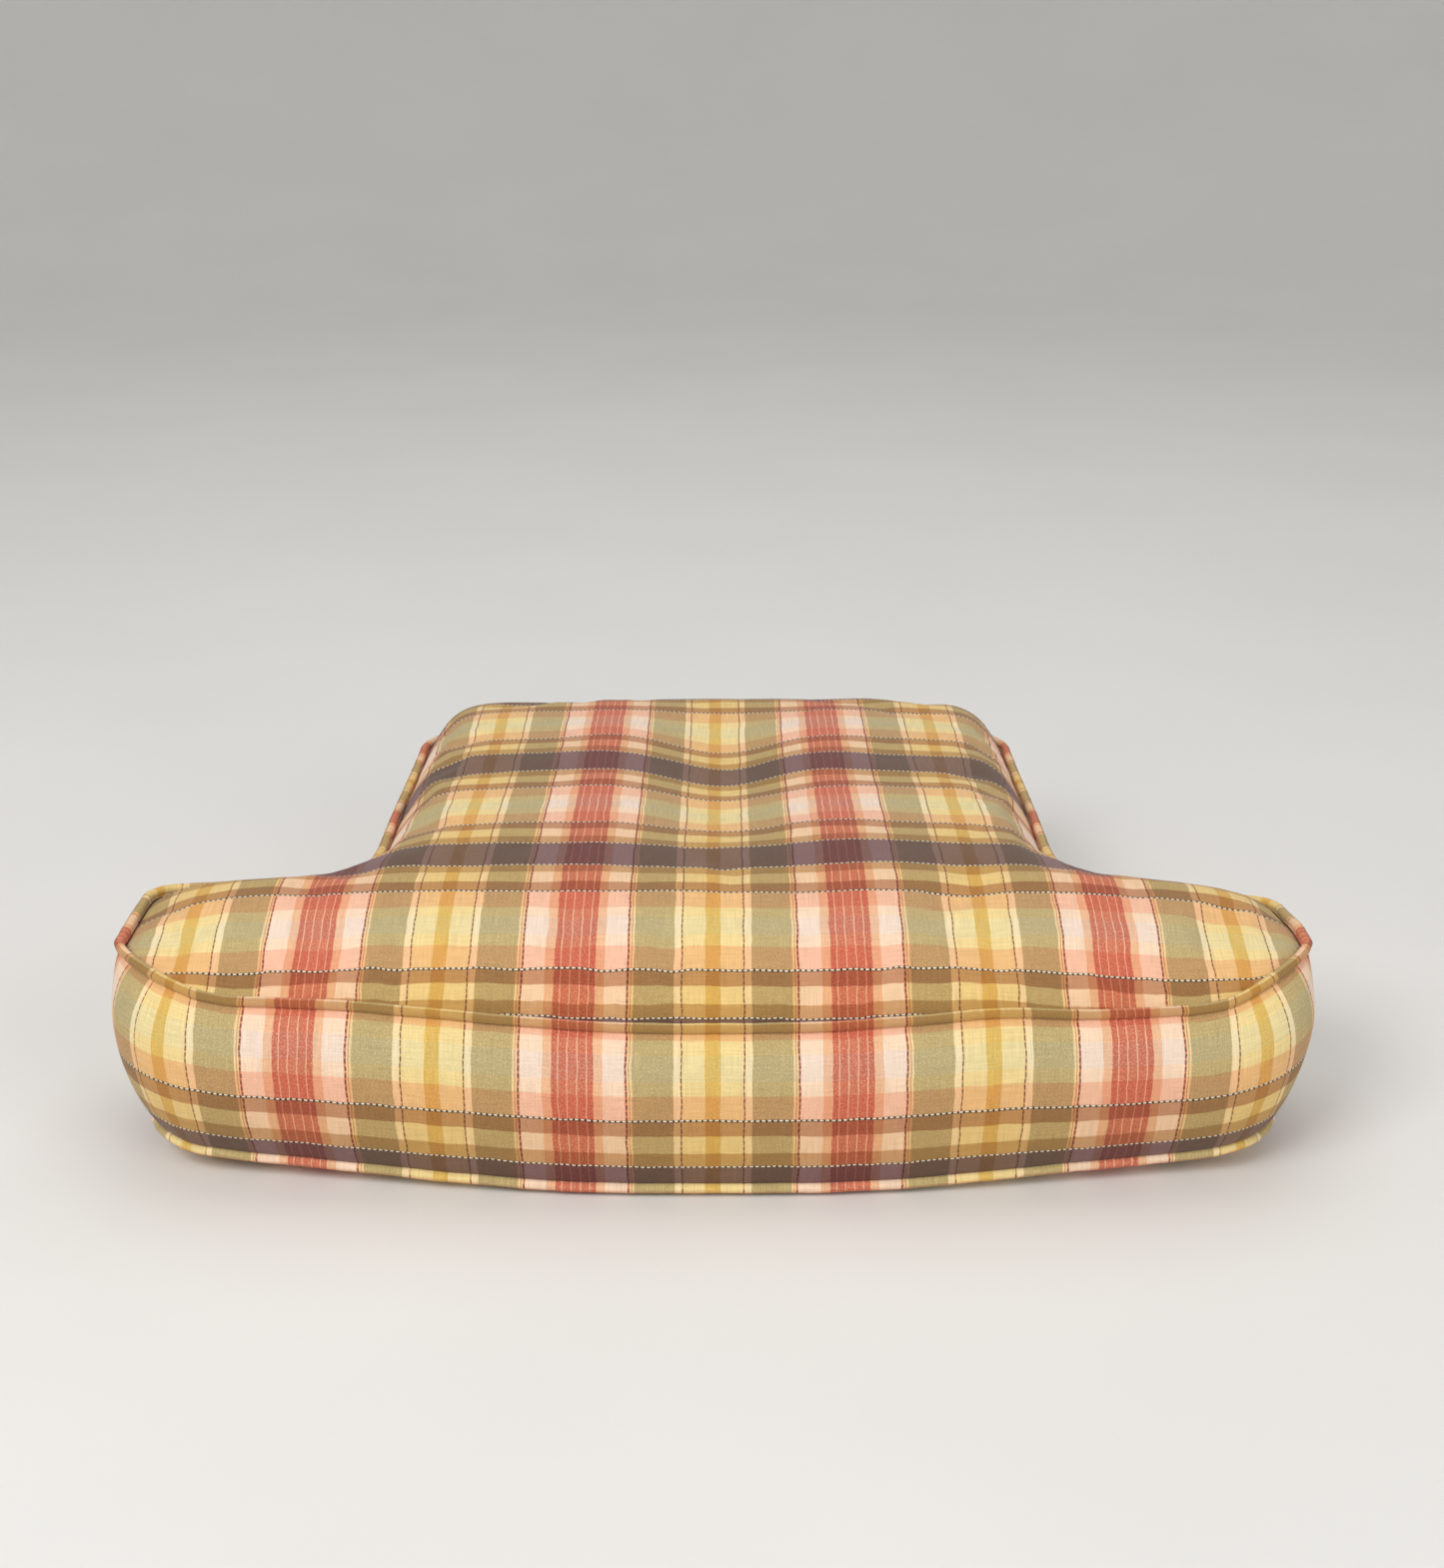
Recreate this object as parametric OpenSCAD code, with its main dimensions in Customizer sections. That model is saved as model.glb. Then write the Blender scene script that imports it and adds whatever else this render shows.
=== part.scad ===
// Loose T-shaped seat cushion of an upholstered club chair.
// Origin: middle of the footprint, on the surface the cushion lies on. +Z up, the front faces -Y.
// The two ears at the front reach sideways past the body, in front of the chair's arms.

/* [Plan] */
// Width across the two front ears
overall_w = 816; // [760:1:860]
// Width of the body, which lies between the chair's arms
body_w = 510; // [460:1:560]
// Depth from the front boxing to the rear boxing
overall_d = 594; // [560:1:640]
// Depth of an ear, from the front to the face behind it
ear_d = 196; // [180:1:205]
// Slope of the bowed front edge where it meets the ear corners, in degrees
front_slope = 5; // [4:0.5:6]
// Share of the half width that the front's round arc takes
front_arc_share = 0.72; // [0.65:0.01:0.74]
// How far the face behind an ear leans forward at its outer end
ear_back_lean = 6; // [4:1:10]
// Radius of the ears' front corners
ear_front_r = 75; // [65:1:80]
// Radius of the ears' back corners
ear_back_r = 24; // [20:1:30]
// Radius of the inner corners that fit round the arms
notch_r = 45; // [35:1:50]
// Radius of the two rear corners
rear_r = 58; // [50:1:65]

/* [Heights] */
// Height of the crown's flat top above the surface the cushion lies on
crown_top = 170; // [160:1:180]
// Height of the lower welt's middle line
lower_welt_z = 6; // [5.5:0.5:8]
// Height of the upper welt's middle line at the sides and the rear
upper_welt_z = 127; // [122:1:130]
// How far the upper welt dips at the middle of the front
front_dip = 8; // [0:1:10]
// How far the upper welt rises at the ears' outer corners
ear_rise = 18; // [0:1:20]
// How far the upper welt stands in from the boxing's fullest line
upper_welt_inset = 10; // [8:0.5:12]
// How far the lower welt stands in from the boxing's fullest line
lower_welt_inset = 7; // [6:0.5:9]
// Width of the band over which the top panel climbs to its crown
crown_reach = 50; // [45:1:52]

/* [Cover] */
// Thickness of the cover cloth in the panels and the boxing
cloth_t = 1.5; // [1.2:0.1:1.8]
// Outer diameter of the covered welt
welt_d = 7; // [6:0.5:8]
// Diameter of the cord inside the welt
welt_cord_d = 4.4; // [4:0.1:4.6]

/* [Filling] */
// Thickness of the fibre sheet wrapped over the foam
wrap_t = 9; // [7:0.5:10]
// Height of the foam core
foam_h = 86; // [82:1:86]

/* [Zip] */
// Length of the zip across the rear boxing
zip_l = 390; // [370:1:394]
// Height of the zip's middle line
zip_z = 66; // [64:1:68]
// Width of the slot between the two folded boxing edges
zip_slot = 12; // [11.5:0.5:13]
// Width of each zip tape
tape_w = 15; // [12:0.5:16]
// Width of one coil row
coil_w = 2.8; // [2.4:0.1:3]
// Length of the slider
slider_l = 12; // [11:0.5:13]
// Width of the slider
slider_w = 9; // [9:0.1:9.4]
// Length of the pull tab, from its pivot to its tip
pull_l = 27; // [24:1:30]

/* [Hidden] */

// Free gap between two layers of the filling
gap = 0.5;
// Steps in the arc of one corner, and in the front's long arc
corner_steps = 6;
front_steps = 10;
half_w = overall_w / 2;
half_body = body_w / 2;
front_y = -overall_d / 2;
rear_y = overall_d / 2;
ear_back_y = front_y + ear_d;

// The bowed front is one large arc, tangent to two slightly sloping lines that meet at an apex
front_r = front_arc_share * half_w / tan(front_slope);
apex_y = front_y - front_r * (1 / cos(front_slope) - 1);
ear_front_y = apex_y + half_w * tan(front_slope);

// Corners of the outline, anticlockwise from the front's apex: position, radius and steps of the arc
corners = [
    [[0, apex_y], front_r, front_steps],
    [[half_w, ear_front_y], ear_front_r, corner_steps],
    [[half_w, ear_back_y - ear_back_lean], ear_back_r, corner_steps],
    [[half_body, ear_back_y], notch_r, corner_steps],
    [[half_body, rear_y], rear_r, corner_steps],
    [[-half_body, rear_y], rear_r, corner_steps],
    [[-half_body, ear_back_y], notch_r, corner_steps],
    [[-half_w, ear_back_y - ear_back_lean], ear_back_r, corner_steps],
    [[-half_w, ear_front_y], ear_front_r, corner_steps]
];
APEX = 0;
RIGHT_NOTCH = 3;
REAR_RIGHT = 4;
REAR_LEFT = 5;
LEFT_NOTCH = 6;
// Smallest radius that an inset corner keeps
least_r = 3;

// Stack of the filling, from the bottom panel upward
lower_pad_z = cloth_t + gap;
wrap_bottom_z = 9.5;
foam_z = wrap_bottom_z + wrap_t + gap;
wrap_top_z = foam_z + foam_h + gap;
upper_pad_z = wrap_top_z + wrap_t + gap;
wrap_inset = 12;
foam_inset = wrap_inset + wrap_t + gap;
pad_inset = 15;
// How far the crown pad's top lies under the top panel
pad_drop = 1.2;

// Shape of the boxing from the lower welt, share 0, to the upper welt, share 1: share and inset
boxing_profile = [[0, lower_welt_inset], [0.25, 1.5], [0.5, 0], [0.75, 2.5], [1, upper_welt_inset]];
welt_clear = welt_d / 2 + 0.1;
panel_inset = upper_welt_inset + welt_clear;

// Section of a welt's cover: a ring that is open toward the seam
welt_slit = 20;
cover_steps = 8;
cord_steps = 8;
cover_inner_r = welt_cord_d / 2 + 0.3;

// Zip layers, from inside the cushion outward: tape, coil, slider and pull
hem_depth = 6.5;
tape_t = 0.9;
tape_y = rear_y - 8;
coil_y = tape_y + tape_t;
coil_t = 2.2;
coil_gap = 1.4;
plate_t = 1;
plate_clear = 0.4;
slider_top_y = coil_y + coil_t + plate_clear;
slider_under_y = tape_y - plate_clear - plate_t;
post_t = 0.8;
post_l = 3;
slider_tail_w = 7.4;
flange_t = 0.6;
flange_h = 1.6;
stop_l = 3;
stop_clear = 1;

// Bridge on the slider, and the pull's cross bar that turns under it
pivot_y = slider_top_y + plate_t + 1;
pivot_r = 0.6;
bridge_w = 2.2;
bridge_l = 7;
bridge_foot = 1.1;
bridge_room = 1.6;
bridge_bar = 0.9;
arm_w = 1;
arm_gap = 0.3;
arm_l = 7;
pull_t = 1.2;
pull_w = 7;

// Closed position of the slider, and its travel to the stop at the open end
slider_x = zip_l / 2 - stop_l - stop_clear - slider_l / 2;
zip_travel = 2 * slider_x - pull_l + 7;
open_stop_x = slider_x - zip_travel - slider_l / 2 - stop_clear - stop_l;

// Topstitching beside the zip
stitch_l = 3.4;
stitch_pitch = 6.5;
stitch_d = 0.5;
stitch_row = 4;
stitch_count = floor((zip_l - 8) / stitch_pitch);

function unit(v) = v / norm(v);
function turned_left(v) = [-v.y, v.x];
function smooth(a, b, x) = let (t = max(0, min(1, (x - a) / (b - a)))) t * t * (3 - 2 * t);
function corner_at(i) = corners[(i + len(corners)) % len(corners)];

// Corner i of the outline after every edge has moved inward by d
function inset_corner(i, d) =
    let (before = corner_at(i - 1)[0], here = corner_at(i)[0], after = corner_at(i + 1)[0],
         n1 = turned_left(unit(here - before)), n2 = turned_left(unit(after - here)))
    here + (n1 + n2) * d / (1 + n1 * n2);

// Points of the arc that rounds corner i of the outline inset by d
function corner_arc(i, d) =
    let (before = inset_corner(i - 1, d), here = inset_corner(i, d), after = inset_corner(i + 1, d),
         e1 = unit(here - before), e2 = unit(after - here),
         side = sign(cross(e1, e2)),
         r = max(least_r, corner_at(i)[1] - side * d),
         turn = acos(e1 * e2),
         start = here - e1 * r * tan(turn / 2),
         centre = start + turned_left(e1) * side * r,
         arm = start - centre,
         steps = corner_at(i)[2])
    [for (k = [0:steps]) let (a = side * turn * k / steps)
        centre + [arm.x * cos(a) - arm.y * sin(a), arm.x * sin(a) + arm.y * cos(a)]];

// Whole outline inset by d, anticlockwise from the start of the front's arc
function outline(d) = [for (i = [0:len(corners) - 1]) each corner_arc(i, d)];

// Half of a corner's arc: the first half when part is 0, the second when part is 1
function half_arc(i, d, part) =
    let (arc = corner_arc(i, d), mid = corner_at(i)[2] / 2)
    [for (k = [0:mid]) arc[k + part * mid]];

// Stretches of the outline that one boxing strip covers
function front_run(d) = concat(
    half_arc(LEFT_NOTCH, d, 1), corner_arc(LEFT_NOTCH + 1, d), corner_arc(LEFT_NOTCH + 2, d),
    corner_arc(APEX, d), corner_arc(1, d), corner_arc(2, d), half_arc(RIGHT_NOTCH, d, 0));
function right_run(d) = concat(
    half_arc(RIGHT_NOTCH, d, 1), corner_arc(REAR_RIGHT, d), [[zip_l / 2, rear_y - d]]);
function left_run(d) = concat(
    [[-zip_l / 2, rear_y - d]], corner_arc(REAR_LEFT, d), half_arc(LEFT_NOTCH, d, 0));

// Height of the upper welt's middle line over a point of the plan
function upper_welt_at(p) =
    upper_welt_z
    - front_dip * (1 - smooth(60, half_body, abs(p.x))) * (1 - smooth(front_y + 60, ear_back_y, p.y))
    + ear_rise * smooth(half_w - 110, half_w - 10, abs(p.x));

// Rings [inset, lift] of the crown from the upper welt inward; lift is the share of the climb
crown_rings = [for (s = [0, 0.12, 0.3, 0.55, 0.8, 1]) [crown_reach * s, 1 - pow(1 - s, 2.2)]];

function at_height(points, z) = [for (p = points) [p.x, p.y, z]];
function crown_ring(edge_inset, ring, drop) =
    [for (p = outline(edge_inset + ring[0]))
        let (low = upper_welt_at(p)) [p.x, p.y, low + (crown_top - low) * ring[1] - drop]];

// Triangles across a flat ring of the outline, in strips between each point and its mirror image
function cap_faces(first, n) =
    let (middle = front_steps / 2)
    [for (i = [middle:middle + (n - 3) / 2])
        let (j = i + 1, a = (front_steps - i + n) % n, b = (front_steps - j + n) % n)
        each concat([[first + i, first + j, first + b]],
                    i == a ? [] : [[first + i, first + b, first + a]])];
function flipped(faces) = [for (f = faces) [f[2], f[1], f[0]]];

// Closed solid through a stack of rings of the outline, listed from inside or below to the top
module loft(rings) {
    n = len(rings[0]);
    last = len(rings) - 1;
    polyhedron(
        points = [for (ring = rings) each ring],
        faces = concat(
            cap_faces(0, n),
            [for (k = [0:last - 1], i = [0:n - 1]) let (j = (i + 1) % n, low = k * n, high = low + n)
                each [[low + i, high + i, high + j], [low + i, high + j, low + j]]],
            flipped(cap_faces(last * n, n))
        ),
        convexity = 6
    );
}

// Closed solid along a run of sections, each with its points listed the same way round.
// With loop set, the last section joins the first.
module swept(sections, loop = false) {
    n = len(sections[0]);
    count = len(sections);
    spans = loop ? count : count - 1;
    polyhedron(
        points = [for (s = sections) each s],
        faces = concat(
            loop ? [] : [[for (i = [n - 1:-1:0]) i], [for (i = [0:n - 1]) (count - 1) * n + i]],
            [for (k = [0:spans - 1], i = [0:n - 1])
                let (j = (i + 1) % n, a = k * n, b = ((k + 1) % count) * n)
                each [[a + i, a + j, b + j], [a + i, b + j, b + i]]]
        ),
        convexity = 6
    );
}

// Flat layer of the plan, inset by d
module layer(d, z, h) {
    translate([0, 0, z])
        linear_extrude(height = h)
            polygon(outline(d));
}

// Prism along X with the outline given as points [y, z]
module along_x(x, l, points) {
    translate([x, 0, 0])
        rotate([90, 0, 90])
            linear_extrude(height = l)
                polygon(points);
}

// Prism along Y with the outline given as points [x, z], from y outward
module along_y(y, t, points) {
    translate([0, y + t, 0])
        rotate([90, 0, 0])
            linear_extrude(height = t)
                polygon(points);
}

module block(low, high) {
    translate(low)
        cube(high - low);
}

// Boxing strip along one stretch of the outline; lower and upper edges stop at the welts
module boxing(stretch) {
    levels = [for (row = boxing_profile) row[0]];
    outer = [for (row = boxing_profile) run(stretch, row[1])];
    inner = [for (row = boxing_profile) run(stretch, row[1] + cloth_t)];
    edge = run(stretch, upper_welt_inset);
    low = lower_welt_z + welt_clear;
    last = len(levels) - 1;
    swept([for (i = [0:len(edge) - 1])
        let (climb = upper_welt_at(edge[i]) - welt_clear - low)
        concat(
            [for (k = [0:last]) let (p = inner[k][i]) [p.x, p.y, low + climb * levels[k]]],
            [for (k = [last:-1:0]) let (p = outer[k][i]) [p.x, p.y, low + climb * levels[k]]]
        )]);
}

function run(stretch, d) =
    stretch == "front" ? front_run(d) : stretch == "right" ? right_run(d) : left_run(d);

// Piping round the whole outline; section holds points [outward, up] round the welt's middle line
module piping(d, section, upper) {
    line = outline(d);
    n = len(line);
    swept([for (i = [0:n - 1])
        let (p = line[i],
             ahead = unit(line[(i + 1) % n] - line[(i + n - 1) % n]),
             out = [ahead.y, -ahead.x],
             z = upper ? upper_welt_at(p) : lower_welt_z)
        [for (q = section) [p.x + out.x * q[0], p.y + out.y * q[0], z + q[1]]]], loop = true);
}

function arc_points(r, from, to, steps) =
    [for (k = [0:steps]) let (a = from + (to - from) * k / steps) r * [cos(a), sin(a)]];
cover_section = concat(
    arc_points(welt_d / 2, 180 - welt_slit, welt_slit - 180, cover_steps),
    arc_points(cover_inner_r, welt_slit - 180, 180 - welt_slit, cover_steps));
cord_section = [for (k = [0:cord_steps - 1]) welt_cord_d / 2 * [cos(-360 * k / cord_steps),
                                                                 sin(-360 * k / cord_steps)]];

module foam_core() {
    color("wheat")
        layer(foam_inset, foam_z, foam_h);
}

// One sheet: under the foam, up its front and over its top
module fibre_wrap() {
    color("white") {
        layer(wrap_inset, wrap_bottom_z, wrap_t);
        layer(wrap_inset, wrap_top_z, wrap_t);
        intersection() {
            difference() {
                layer(wrap_inset, wrap_bottom_z, wrap_top_z - wrap_bottom_z + wrap_t);
                layer(foam_inset - gap, wrap_bottom_z + wrap_t, wrap_top_z - wrap_bottom_z - wrap_t);
            }
            block([-half_w, front_y, 0], [half_w, ear_front_y + ear_front_r / 2, crown_top]);
        }
    }
}

module upper_crown_pad() {
    color("white")
        loft(concat(
            [at_height(outline(pad_inset), upper_pad_z)],
            [for (ring = crown_rings) crown_ring(pad_inset, ring, cloth_t + pad_drop)]
        ));
}

module lower_crown_pad() {
    color("white")
        layer(pad_inset, lower_pad_z, wrap_bottom_z - gap - lower_pad_z);
}

module top_panel() {
    color("tan")
        loft(concat(
            [for (k = [len(crown_rings) - 1:-1:0]) crown_ring(panel_inset, crown_rings[k], cloth_t)],
            [for (ring = crown_rings) crown_ring(panel_inset, ring, 0)]
        ));
}

module bottom_panel() {
    color("tan")
        layer(lower_welt_inset, 0, cloth_t);
}

module front_boxing() {
    color("burlywood")
        boxing("front");
}

module left_boxing() {
    color("burlywood")
        boxing("left");
}

module right_boxing() {
    color("burlywood")
        boxing("right");
}

// Strip beside the zip, with its edge folded inward along the slot
function zip_share(z, high) = (z - lower_welt_z - welt_clear) / (high - lower_welt_z - welt_clear);
function zip_face(z) = rear_y - lookup(zip_share(z, upper_welt_z - welt_clear), boxing_profile);

module upper_zip_boxing() {
    hem_z = zip_z + zip_slot / 2;
    top_z = upper_welt_z - welt_clear;
    levels = [hem_z, (hem_z + top_z) / 2, top_z];
    color("burlywood")
        along_x(-zip_l / 2, zip_l, concat(
            [for (z = levels) [zip_face(z), z]],
            [for (k = [2:-1:1]) [zip_face(levels[k]) - cloth_t, levels[k]]],
            [[zip_face(hem_z) - cloth_t, hem_z + cloth_t],
             [rear_y - hem_depth, hem_z + cloth_t],
             [rear_y - hem_depth, hem_z]]));
}

module lower_zip_boxing() {
    hem_z = zip_z - zip_slot / 2;
    low_z = lower_welt_z + welt_clear;
    levels = [low_z, (hem_z + low_z) / 2, hem_z];
    color("burlywood")
        along_x(-zip_l / 2, zip_l, concat(
            [for (z = levels) [zip_face(z), z]],
            [[rear_y - hem_depth, hem_z],
             [rear_y - hem_depth, hem_z - cloth_t],
             [zip_face(hem_z) - cloth_t, hem_z - cloth_t]],
            [for (k = [1:-1:0]) [zip_face(levels[k]) - cloth_t, levels[k]]]));
}

module top_welt_cover() {
    color("peru")
        piping(upper_welt_inset, cover_section, upper = true);
}

module top_welt_cord() {
    color("ivory")
        piping(upper_welt_inset, cord_section, upper = true);
}

module bottom_welt_cover() {
    color("peru")
        piping(lower_welt_inset, cover_section, upper = false);
}

module bottom_welt_cord() {
    color("ivory")
        piping(lower_welt_inset, cord_section, upper = false);
}

// Tape and coil on one side of the zip's middle line: side is 1 above it and -1 below it
module zip_tape(side) {
    inner = coil_gap / 2;
    z = zip_z + (side > 0 ? inner : -inner - tape_w);
    block([-zip_l / 2, tape_y, z], [zip_l / 2, tape_y + tape_t, z + tape_w]);
}

module zip_coil(side) {
    inner = coil_gap / 2;
    z = zip_z + (side > 0 ? inner : -inner - coil_w);
    block([open_stop_x + stop_l, coil_y, z], [zip_l / 2 - stop_l, coil_y + coil_t, z + coil_w]);
}

module upper_zip_tape() {
    color("tan")
        zip_tape(1);
}

module lower_zip_tape() {
    color("tan")
        zip_tape(-1);
}

module upper_zip_coil() {
    color("saddlebrown")
        zip_coil(1);
}

module lower_zip_coil() {
    color("saddlebrown")
        zip_coil(-1);
}

// One small stop on each tape, just past the closed slider
module zip_top_stops() {
    color("goldenrod")
        for (side = [-1, 1]) {
            z = zip_z + side * (coil_gap + coil_w) / 2;
            block([zip_l / 2 - stop_l, coil_y, z - coil_w / 2],
                  [zip_l / 2, coil_y + coil_t, z + coil_w / 2]);
        }
}

// One stop across both coils, where the open slider ends its travel
module zip_bottom_stop() {
    reach = coil_gap / 2 + coil_w;
    color("goldenrod")
        block([open_stop_x, coil_y, zip_z - reach], [open_stop_x + stop_l, coil_y + coil_t, zip_z + reach]);
}

module stitching(z) {
    color("darkkhaki")
        for (k = [0:stitch_count - 1])
            translate([(k - (stitch_count - 1) / 2) * stitch_pitch - stitch_l / 2,
                       zip_face(z) + stitch_d / 2 + 0.05, z])
                rotate([0, 90, 0])
                    cylinder(d = stitch_d, h = stitch_l, $fn = 16);
}

module upper_zip_stitching() {
    stitching(zip_z + zip_slot / 2 + stitch_row);
}

module lower_zip_stitching() {
    stitching(zip_z - zip_slot / 2 - stitch_row);
}

// Two plates joined by a post between the coils, rims along the upper plate, and the bridge
module zip_slider() {
    nose = slider_l / 2;
    chamfer = 2;
    plate = [[-nose, -slider_tail_w / 2], [0, -slider_w / 2], [nose - chamfer, -slider_w / 2],
             [nose, chamfer - slider_w / 2], [nose, slider_w / 2 - chamfer], [nose - chamfer, slider_w / 2],
             [0, slider_w / 2], [-nose, slider_tail_w / 2]];
    color("goldenrod")
        translate([slider_x, 0, zip_z]) {
            along_y(slider_top_y, plate_t, plate);
            along_y(slider_under_y, plate_t, plate);
            block([nose - chamfer - post_l, slider_under_y + plate_t, -post_t / 2],
                  [nose - chamfer, slider_top_y, post_t / 2]);
            for (side = [-1, 1])
                block([0, slider_top_y - flange_h, side * (slider_w - flange_t) / 2 - flange_t / 2],
                      [nose - chamfer, slider_top_y, side * (slider_w - flange_t) / 2 + flange_t / 2]);
            slider_bridge();
        }
}

module slider_bridge() {
    base = slider_top_y + plate_t;
    translate([0, 0, -bridge_w / 2])
        linear_extrude(height = bridge_w)
            difference() {
                translate([-bridge_l / 2, base])
                    square([bridge_l, bridge_room + bridge_bar]);
                translate([bridge_foot - bridge_l / 2, base])
                    square([bridge_l - 2 * bridge_foot, bridge_room]);
            }
}

// Cross bar under the bridge, two arms beside it, and the tab, lying along the closed coils
module zip_pull() {
    arm_z = bridge_w / 2 + arm_gap;
    outer_z = arm_z + arm_w;
    color("goldenrod")
        translate([slider_x, pivot_y, zip_z]) {
            translate([0, 0, -outer_z])
                cylinder(r = pivot_r, h = 2 * outer_z, $fn = 24);
            for (side = [-1, 1]) {
                z = side * (arm_z + arm_w / 2);
                block([-arm_l, -pull_t / 2, z - arm_w / 2], [0, pull_t / 2, z + arm_w / 2]);
            }
            translate([0, pull_t / 2, 0])
                rotate([90, 0, 0])
                    linear_extrude(height = pull_t) {
                        translate([-pull_l + pull_w / 2, -pull_w / 2])
                            square([pull_l - arm_l - pull_w / 2 + 1, pull_w]);
                        translate([-pull_l + pull_w / 2, 0])
                            circle(d = pull_w, $fn = 48);
                    }
        }
}

foam_core();
fibre_wrap();
upper_crown_pad();
lower_crown_pad();
top_panel();
bottom_panel();
front_boxing();
left_boxing();
right_boxing();
upper_zip_boxing();
lower_zip_boxing();
top_welt_cover();
top_welt_cord();
bottom_welt_cover();
bottom_welt_cord();
upper_zip_tape();
lower_zip_tape();
upper_zip_coil();
lower_zip_coil();
zip_top_stops();
zip_bottom_stop();
upper_zip_stitching();
lower_zip_stitching();
zip_slider();
zip_pull();
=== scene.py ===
"""A loose T-shaped seat cushion in plaid cloth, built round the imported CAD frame.

Metres throughout, +Z up, the front faces -Y. The cover is panels, boxing and welts sewn over foam and
fibre, with a zip across the rear. All cloth carries the map CLOTH_MAP, in metres along its weft and
its warp.
"""
import math

import bmesh
import bpy
import numpy as np
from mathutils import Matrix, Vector, noise
from mathutils.geometry import delaunay_2d_cdt


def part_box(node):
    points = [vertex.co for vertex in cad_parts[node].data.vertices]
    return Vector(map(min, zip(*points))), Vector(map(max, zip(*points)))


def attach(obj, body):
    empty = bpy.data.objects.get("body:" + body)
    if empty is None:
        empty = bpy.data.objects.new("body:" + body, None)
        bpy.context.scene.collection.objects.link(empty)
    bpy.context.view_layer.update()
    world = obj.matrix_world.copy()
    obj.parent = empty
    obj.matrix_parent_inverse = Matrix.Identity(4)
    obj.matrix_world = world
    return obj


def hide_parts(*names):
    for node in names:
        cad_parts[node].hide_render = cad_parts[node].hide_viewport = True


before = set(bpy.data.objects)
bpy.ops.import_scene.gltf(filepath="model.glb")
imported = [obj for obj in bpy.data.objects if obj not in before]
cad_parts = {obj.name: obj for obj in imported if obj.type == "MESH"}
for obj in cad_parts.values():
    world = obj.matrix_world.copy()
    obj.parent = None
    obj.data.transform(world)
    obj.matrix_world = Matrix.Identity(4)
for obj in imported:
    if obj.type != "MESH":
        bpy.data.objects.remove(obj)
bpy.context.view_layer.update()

# ------------------------------------------------------------------ Sizes
BODY = "cushion"
CLOTH_MAP = "cloth"

# Plan of the fullest line: the CAD box gives the width and depth, and these give the corners. The
# cloth bulges past the CAD's wall at the ears.
EAR_BULGE = 0.004
HALF_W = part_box("front_boxing")[1].x + EAR_BULGE
FRONT_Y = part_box("front_boxing")[0].y
REAR_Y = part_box("left_boxing")[1].y
HALF_BODY = 0.259
EAR_DEPTH = 0.196
EAR_BACK_LEAN = 0.006
FRONT_SLOPE = math.radians(5)
FRONT_ARC_SHARE = 0.72
EAR_FRONT_R = 0.075
EAR_BACK_R = 0.024
NOTCH_R = 0.055
REAR_R = 0.058
EAR_BACK_Y = FRONT_Y + EAR_DEPTH

# Heights of the two welts' middle lines.
FRONT_WELT_Z = 0.122
BODY_WELT_Z = 0.127
LOWER_WELT_Z = 0.006
WELT_R = 0.0035
WELT_CORD_R = 0.0022

CLOTH_T = 0.0012

# The zip: its half length and middle height, as in the CAD.
ZIP_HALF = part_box("upper_zip_tape")[1].x
ZIP_Z = (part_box("upper_zip_tape")[0].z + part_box("lower_zip_tape")[1].z) / 2
ZIP_SLOT = 0.012
# Rows of each hem behind the slot's edge: (depth, how far it lies back from the slot).
HEM_ROWS = ((0.0008, 0.0), (0.0035, 0.0002), (0.0065, 0.0006))

# Plaid: one repeat across (along X) and one repeat along the warp.
REPEAT_X = 0.178
REPEAT_Y = 0.187


def smooth(a, b, x):
    t = np.clip((x - a) / (b - a), 0, 1)
    return t * t * (3 - 2 * t)


def mix(a, b, t):
    return a + (b - a) * t


def bell(x, width):
    return np.exp(-((x / width) ** 2))


def unit(v):
    return v / np.linalg.norm(v)


def ripple(points, size, seed):
    """Smooth noise between about -1 and 1 for each row of points, with features of that size."""
    offset = Vector((seed * 7.3, seed * 3.1, seed * 5.7))
    return np.array([noise.noise(Vector(p) / size + offset) for p in points])


# The ears end and the body begins between these depths.
EARS_END = (-0.115, -0.05)

# How far the welts stand in from the fullest line.
UPPER_IN, UPPER_IN_AHEAD, UPPER_IN_ASIDE, UPPER_IN_CORNER = 0.005, 0.0135, 0.002, 0.011
LOWER_IN, LOWER_IN_EAR, LOWER_IN_BODY = 0.011, 0.012, 0.007

# How far the welts rise along the front and again at the ears' corners, behind, and on the body.
UPPER_RISE, UPPER_CORNER_RISE, UPPER_RIGHT_DIP = 0.012, 0.015, 0.007
UPPER_BACK_RISE, UPPER_BODY_RISE = 0.029, 0.010
LOWER_RISE, LOWER_CORNER_RISE = 0.009, 0.008


# ------------------------------------------------------------------ Outline
def corner_table():
    """Corners of the plan, anticlockwise from the front's apex: (x, y, radius)."""
    front_r = FRONT_ARC_SHARE * HALF_W / math.tan(FRONT_SLOPE)
    apex_y = FRONT_Y - front_r * (1 / math.cos(FRONT_SLOPE) - 1)
    ear_front_y = apex_y + HALF_W * math.tan(FRONT_SLOPE)
    right = [
        (HALF_W, ear_front_y, EAR_FRONT_R),
        (HALF_W, EAR_BACK_Y - EAR_BACK_LEAN, EAR_BACK_R),
        (HALF_BODY, EAR_BACK_Y, NOTCH_R),
        (HALF_BODY, REAR_Y, REAR_R),
    ]
    return [(0.0, apex_y, front_r), *right, *[(-x, y, r) for x, y, r in reversed(right)]]


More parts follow.
